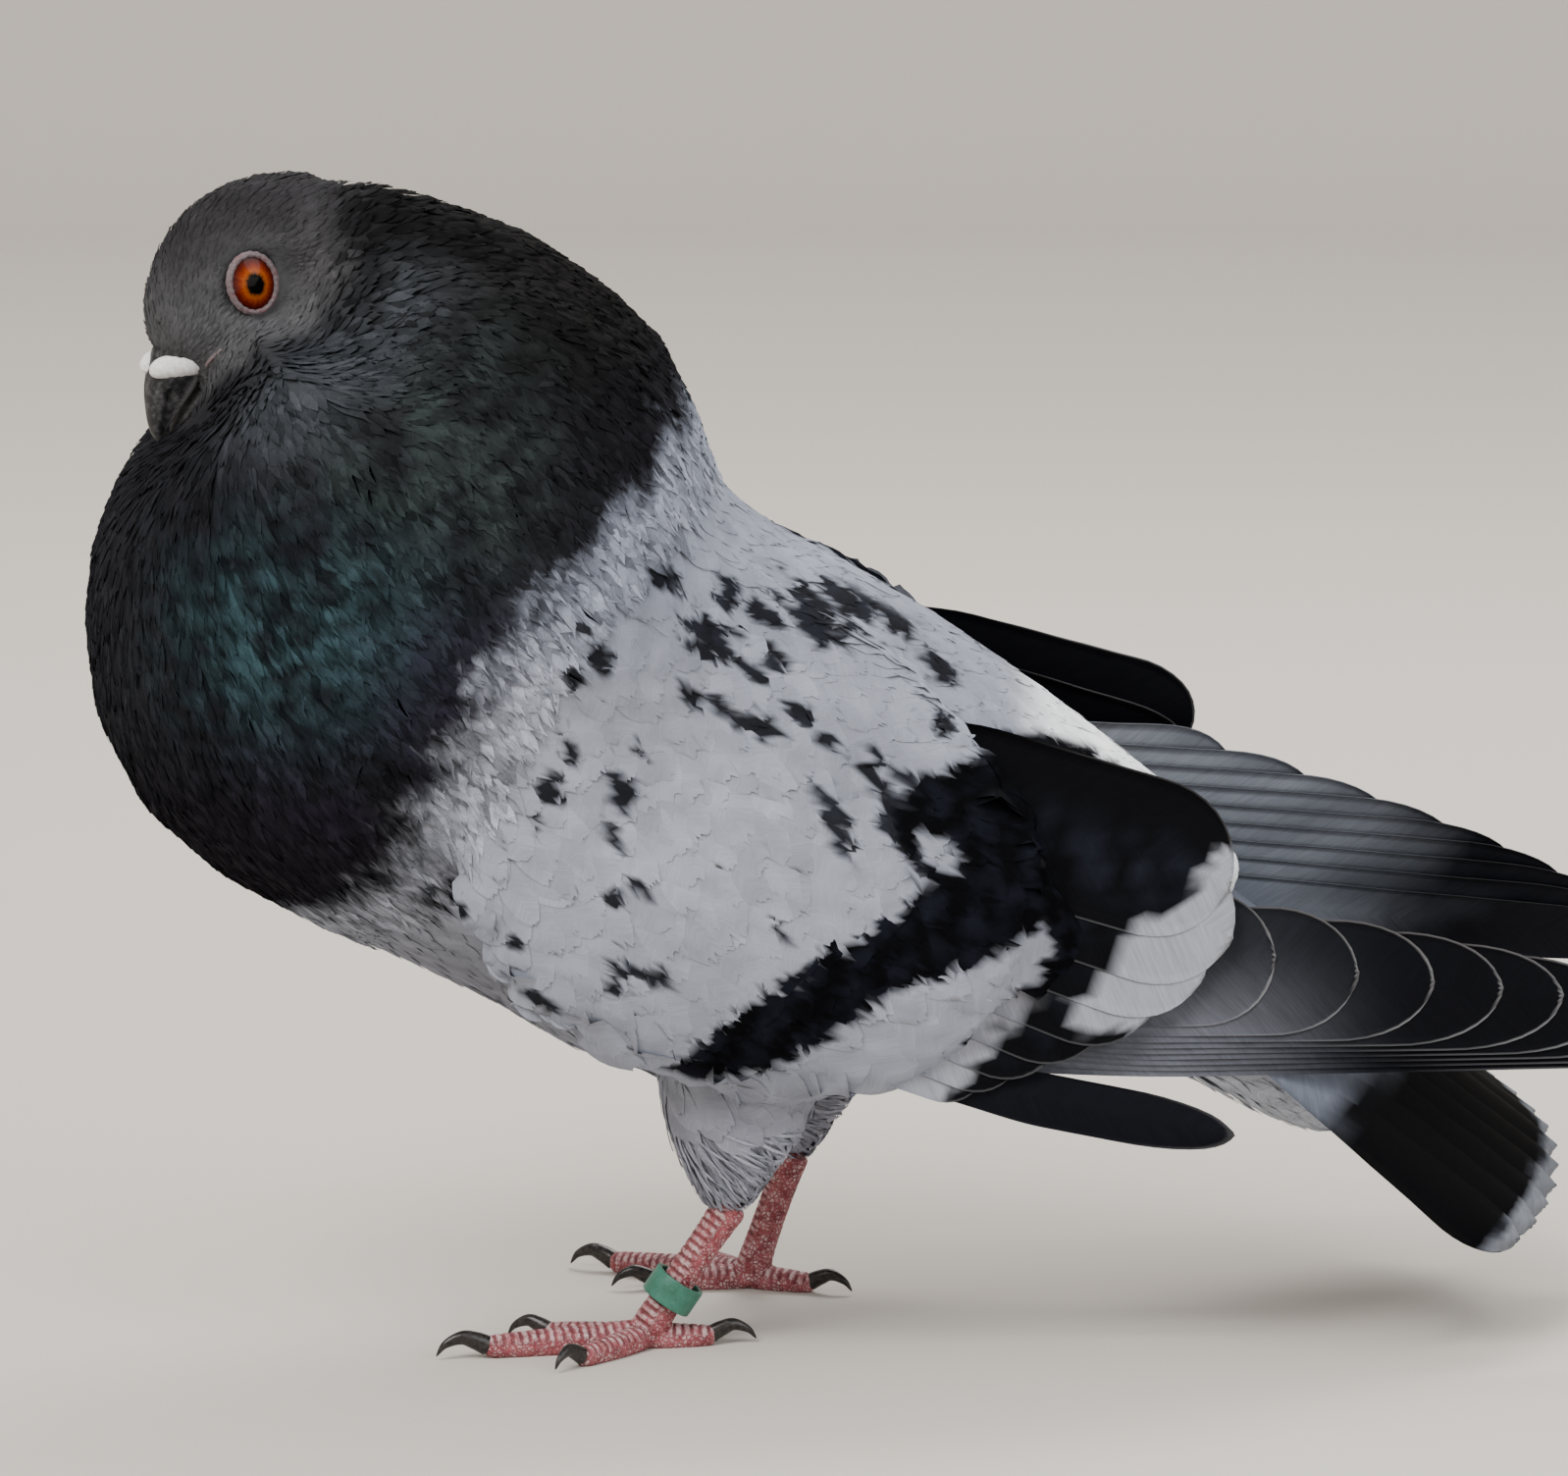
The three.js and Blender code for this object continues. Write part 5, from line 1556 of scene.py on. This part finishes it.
FEET = {
    "left": {"base": (3.5, -22, 3.4), "hock": (17.5, -22, 24), "heading": 197, "hand": 1},
    "right": {"base": (22, 30, 3.4), "hock": (29, 27, 24), "heading": 152, "hand": -1},
}
# Each toe's angle, length, radius, and its claw's length.
TOES = {
    "hind": (174, 12.5, 2.3, 7.5), "inner": (-34, 19, 2.3, 7), "middle": (0, 30, 2.6, 8.5),
    "outer": (38, 20, 2.3, 7),
}
SCUTE_PITCH = 1.55


def toe_place(foot, angle):
    """Gives a function that places points along a toe: distance from the foot's middle, and height."""
    turned = math.radians(foot["heading"] + foot["hand"] * angle)
    x, y, _ = foot["base"]
    return lambda ahead, height: (x + ahead * math.cos(turned), y + ahead * math.sin(turned), height)


def foot_lines(foot):
    """The middle lines of the shank and the four toes, each with its radii and the way its scutes face."""
    base, hock = np.array(foot["base"], float), np.array(foot["hock"], float)
    turned = math.radians(foot["heading"])
    front = np.array([math.cos(turned), math.sin(turned), 0.3])
    shank = [base - [0, 0, 0.6], mix(base, hock, 0.3), mix(base, hock, 0.75), hock + 0.12 * (hock - base)]
    lines = [(shank, [3.3, 2.9, 2.85, 3.3], front)]
    for angle, length, radius, _ in TOES.values():
        at = toe_place(foot, angle)
        low = radius - 0.7
        path = [at(0, low + 0.6), at(0.35 * length, low + 0.1), at(0.7 * length, low), at(length, low)]
        lines.append((path, [radius * share for share in (1.02, 1.05, 0.94, 0.74)], np.array([0, 0, 1.0])))
    return lines


def foot_material():
    """Pink-red skin: broad scutes in front and on top, small scales elsewhere, worn pale on their faces."""
    n = Nodes("foot_skin", 0.55)
    row, facing, depth = (n.add("SeparateXYZ", {0: n.attribute("scale", "Vector")}, i) for i in range(3))
    wave = n.math("PINGPONG", row, 0.5)
    plate = n.ranged(wave, 0.10, 0.28)
    small = n.add("TexVoronoi", {"Vector": n.place(), "Scale": 1250.0}, feature="DISTANCE_TO_EDGE")
    scale = n.ranged(small, 0.03, 0.22)
    face = n.add("Mix", {0: facing, 2: scale, 3: plate})
    patch = n.noise(n.place(), 420.0, 4.0, 0.6)
    fine = n.noise(n.place(), 2600.0, 3.0, 0.6)
    red = n.mixed(n.ranged(patch, 0.35, 0.65), (0.17, 0.018, 0.028, 1), (0.36, 0.085, 0.10, 1))
    pale = n.mixed(n.ranged(fine, 0.3, 0.7), (0.42, 0.24, 0.25, 1), (0.66, 0.56, 0.55, 1))
    share = n.math("MULTIPLY", face, n.ranged(n.noise(n.place(), 700.0, 4.0, 0.7), 0.42, 0.60, 0.08, 0.9))
    colour = n.mixed(share, red, pale)
    # Painted shade: the grooves between the scutes are darkened.
    colour = n.mixed(n.math("MULTIPLY", depth, 0.75), colour, (0.09, 0.045, 0.045, 1))
    n.link(colour, n.shader.inputs["Base Color"])
    n.bump(face, 0.7, 0.0003)
    n.shader.inputs["Specular IOR Level"].default_value = 0.3
    return n.material


def claw_material():
    n = Nodes("claw", 0.28)
    streak = n.noise(n.place(), 1500.0, 4.0, 0.6)
    colour = n.mixed(n.ranged(streak, 0.4, 0.75), (0.006, 0.005, 0.005, 1), (0.045, 0.038, 0.034, 1))
    n.link(colour, n.shader.inputs["Base Color"])
    n.bump(streak, 0.25, 0.0002)
    n.shader.inputs["Specular IOR Level"].default_value = 0.4
    return n.material


def ring_material():
    n = Nodes("leg_ring", 0.42)
    broad, fine = n.noise(n.place(), 350.0, 4.0, 0.6), n.noise(n.place(), 2500.0, 4.0, 0.65)
    colour = n.mixed(n.ranged(broad, 0.35, 0.65), (0.020, 0.110, 0.070, 1), (0.040, 0.175, 0.125, 1))
    colour = n.mixed(n.ranged(fine, 0.60, 0.72, 0.0, 0.5), colour, (0.16, 0.30, 0.25, 1))
    n.link(colour, n.shader.inputs["Base Color"])
    n.bump(fine, 0.3, 0.0002)
    return n.material


def foot(name):
    """The shank and toes as one skin, with its scutes raised. The sole stays flat on the floor."""
    form = FEET[name]
    lines = foot_lines(form)
    heap, faces = [], []
    for path, radii, _ in lines:
        grid = rod(path, radii, around=28, stations=70)
        rows, columns = grid.shape[:2]
        r, c = np.meshgrid(np.arange(rows - 1), np.arange(columns), indexing="ij")
        d = (c + 1) % columns
        quads = np.stack([r * columns + c, r * columns + d, (r + 1) * columns + d, (r + 1) * columns + c], 2)
        faces.append(quads.reshape(-1, 4) + sum(len(h) for h in heap))
        heap.append(grid.reshape(-1, 3))
    points, quads = remeshed(np.vstack(heap), np.vstack(faces), 0.34)
    points = relaxed(points, quads, 6)
    out = normals_of(points, quads)
    best = np.full(len(points), np.inf)
    row, facing = np.zeros(len(points)), np.zeros(len(points))
    for k, (path, radii, front) in enumerate(lines):
        line = catmull(path, np.linspace(0, 1, 120))
        run = np.concatenate([[0], np.cumsum(np.linalg.norm(np.diff(line, axis=0), axis=1))])
        radius = smooth_row(radii, np.linspace(0, 1, 120))
        gap = np.linalg.norm(points[:, None] - line[None], axis=2) - radius[None]
        nearest = gap.argmin(1)
        nearer = gap.min(1) < best
        best = np.where(nearer, gap.min(1), best)
        row = np.where(nearer, run[nearest] / SCUTE_PITCH, row)
        facing = np.where(nearer, step(out @ unit(front), 0.15, 0.45), facing)
    wave = np.abs((row % 1) - 0.5) * 2
    groove = step(wave, 0.62, 0.95)
    swell = 0.16 * facing * (1 - groove) - 0.10 * facing * groove
    grain = 0.05 * (1 - facing) * lumps(points, 0.9, 31)
    lifted = points + out * (swell + grain)[:, None]
    lifted[:, 2] = np.where(points[:, 2] < 0.08, 0.0, np.maximum(lifted[:, 2], 0.0))
    piece = mesh_object("foot_skin_" + name, lifted, quads, FOOT)
    outward(piece)
    # The third value marks the grooves between the scutes, where painted shade darkens them.
    give(piece, "scale", "FLOAT_VECTOR", np.stack([row, facing, groove * facing], 1))
    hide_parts("foot_" + name)
    print("foot_skin_" + name, 2 * len(quads), "triangles")
    for toe, (angle, length, radius, claw) in TOES.items():
        at = toe_place(form, angle)
        path = [
            at(length - 1.4, radius - 0.7), at(length + 0.15 * claw, radius + 0.6),
            at(length + 0.45 * claw, radius + 1.25), at(length + 0.8 * claw, radius + 0.2),
            at(length + claw, 0.75),
        ]
        radii = [radius * 0.62, radius * 0.54, radius * 0.42, radius * 0.24, 0.12]
        horn = swept(
            "claw_" + toe + "_" + name, path, radii, CLAW, "claw", around=20, stations=50, squash=1.15)
        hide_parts(toe + "_claw_" + name)


def leg_ring():
    """A plain closed band with rounded edges, loose on the left shank."""
    base, hock = (np.array(FEET["left"][k], float) for k in ("base", "hock"))
    axis = unit(hock - base)
    middle = mix(base, hock, 0.34)
    across = unit(np.cross(axis, [0, 1, 0]))
    side = np.cross(axis, across)
    profile = []
    for r, h, turn_from in ((4.55, 2.25, 0), (4.15, 2.25, 90), (4.15, -2.25, 180), (4.55, -2.25, 270)):
        for k in range(6):
            a = math.radians(turn_from + 18 * k)
            profile.append((r + 0.25 * math.cos(a), h + 0.25 * math.sin(a)))
    profile = np.array(profile)
    t = np.linspace(0, 2 * math.pi, 129)
    away = across * np.cos(t)[:, None] + side * np.sin(t)[:, None]
    points = middle + away[:, None] * profile[None, :, 0, None] + axis * profile[None, :, 1, None]
    piece = grid_object("ring_band", points, RING, closed=True)
    outward(piece)
    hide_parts("leg_ring")


FOOT, CLAW, RING = foot_material(), claw_material(), ring_material()
foot("left")
foot("right")
leg_ring()

# ---- Floor, light and camera ----


def stage():
    n = Nodes("pale_floor", 0.75)
    n.shader.inputs["Base Color"].default_value = (0.60, 0.56, 0.51, 1)
    n.shader.inputs["Specular IOR Level"].default_value = 0.2
    # A round floor that curves up far off on every side, so that no edge shows.
    profile = [(0.0, 0.0), (1.2, 0.0), (3.2, 0.0)]
    for a in np.linspace(0, math.pi / 2, 25)[1:]:
        profile.append((3.2 + 0.9 * math.sin(a), 0.9 - 0.9 * math.cos(a)))
    profile += [(4.1, 1.8)]
    points, faces, around = [], [], 96
    for r, z in profile:
        turns = [2 * math.pi * k / around for k in range(around)]
        points += [(r * math.cos(a), r * math.sin(a), z) for a in turns]
    for i in range(len(profile) - 1):
        for k in range(around):
            a, b = i * around + k, i * around + (k + 1) % around
            faces.append((a, b, b + around, a + around) if i else (a, b + around, a + around))
    mesh = bpy.data.meshes.new("floor")
    mesh.from_pydata(points, [], faces)
    for polygon in mesh.polygons:
        polygon.use_smooth = True
    mesh.materials.append(n.material)
    floor = bpy.data.objects.new("floor", mesh)
    bpy.context.scene.collection.objects.link(floor)


def lamp(name, place, target, size, watts, colour):
    light = bpy.data.lights.new(name, "AREA")
    light.shape, light.size, light.energy, light.color = "DISK", size, watts, colour
    thing = bpy.data.objects.new(name, light)
    thing.location = place
    thing.rotation_euler = (Vector(target) - Vector(place)).to_track_quat("-Z", "Y").to_euler()
    bpy.context.scene.collection.objects.link(thing)


def camera():
    data = bpy.data.cameras.new("camera")
    data.sensor_width, data.lens = 36.0, 36.0 * CAMERA_FOCAL / CAMERA_WIDTH
    thing = bpy.data.objects.new("camera", data)
    down = math.radians(CAMERA_DOWN)
    look = np.array([0, math.cos(down), -math.sin(down)])
    aim = np.array(CAMERA_AIM)
    thing.location = to_row(aim - CAMERA_DISTANCE * look)
    thing.rotation_euler = (math.pi / 2 - down, 0, 0)
    data.clip_start, data.clip_end = 0.05, 20
    bpy.context.scene.collection.objects.link(thing)
    bpy.context.scene.camera = thing


CAMERA_AIM = (28, 0, 106.3)
CAMERA_DISTANCE = 1300
CAMERA_DOWN = 7.5
CAMERA_FOCAL = 7410
CAMERA_WIDTH = 1598

stage()
lamp("key", (-0.7, -1.1, 1.3), (0, 0, 0.1), 0.9, 26, (1.0, 0.98, 0.95))
lamp("fill", (1.1, -1.0, 0.7), (0, 0, 0.1), 1.2, 12, (0.93, 0.96, 1.0))
lamp("back", (0.3, 0.9, 1.2), (0, 0, 0.15), 0.8, 12, (1.0, 0.97, 0.94))
for k in range(6):
    # Lamps turned outward light the surround evenly on every side.
    a = math.radians(60 * k + 30)
    x, y = math.cos(a), math.sin(a)
    place, aim = (1.5 * x, 1.5 * y, 2.5), (3.7 * x, 3.7 * y, 0.3)
    lamp("surround_" + str(k + 1), place, aim, 1.6, 38, (1.0, 0.98, 0.95))
world = bpy.data.worlds.new("studio")
world.use_nodes = True
world.node_tree.nodes["Background"].inputs["Color"].default_value = (0.80, 0.80, 0.80, 1)
world.node_tree.nodes["Background"].inputs["Strength"].default_value = 0.55
bpy.context.scene.world = world
camera()
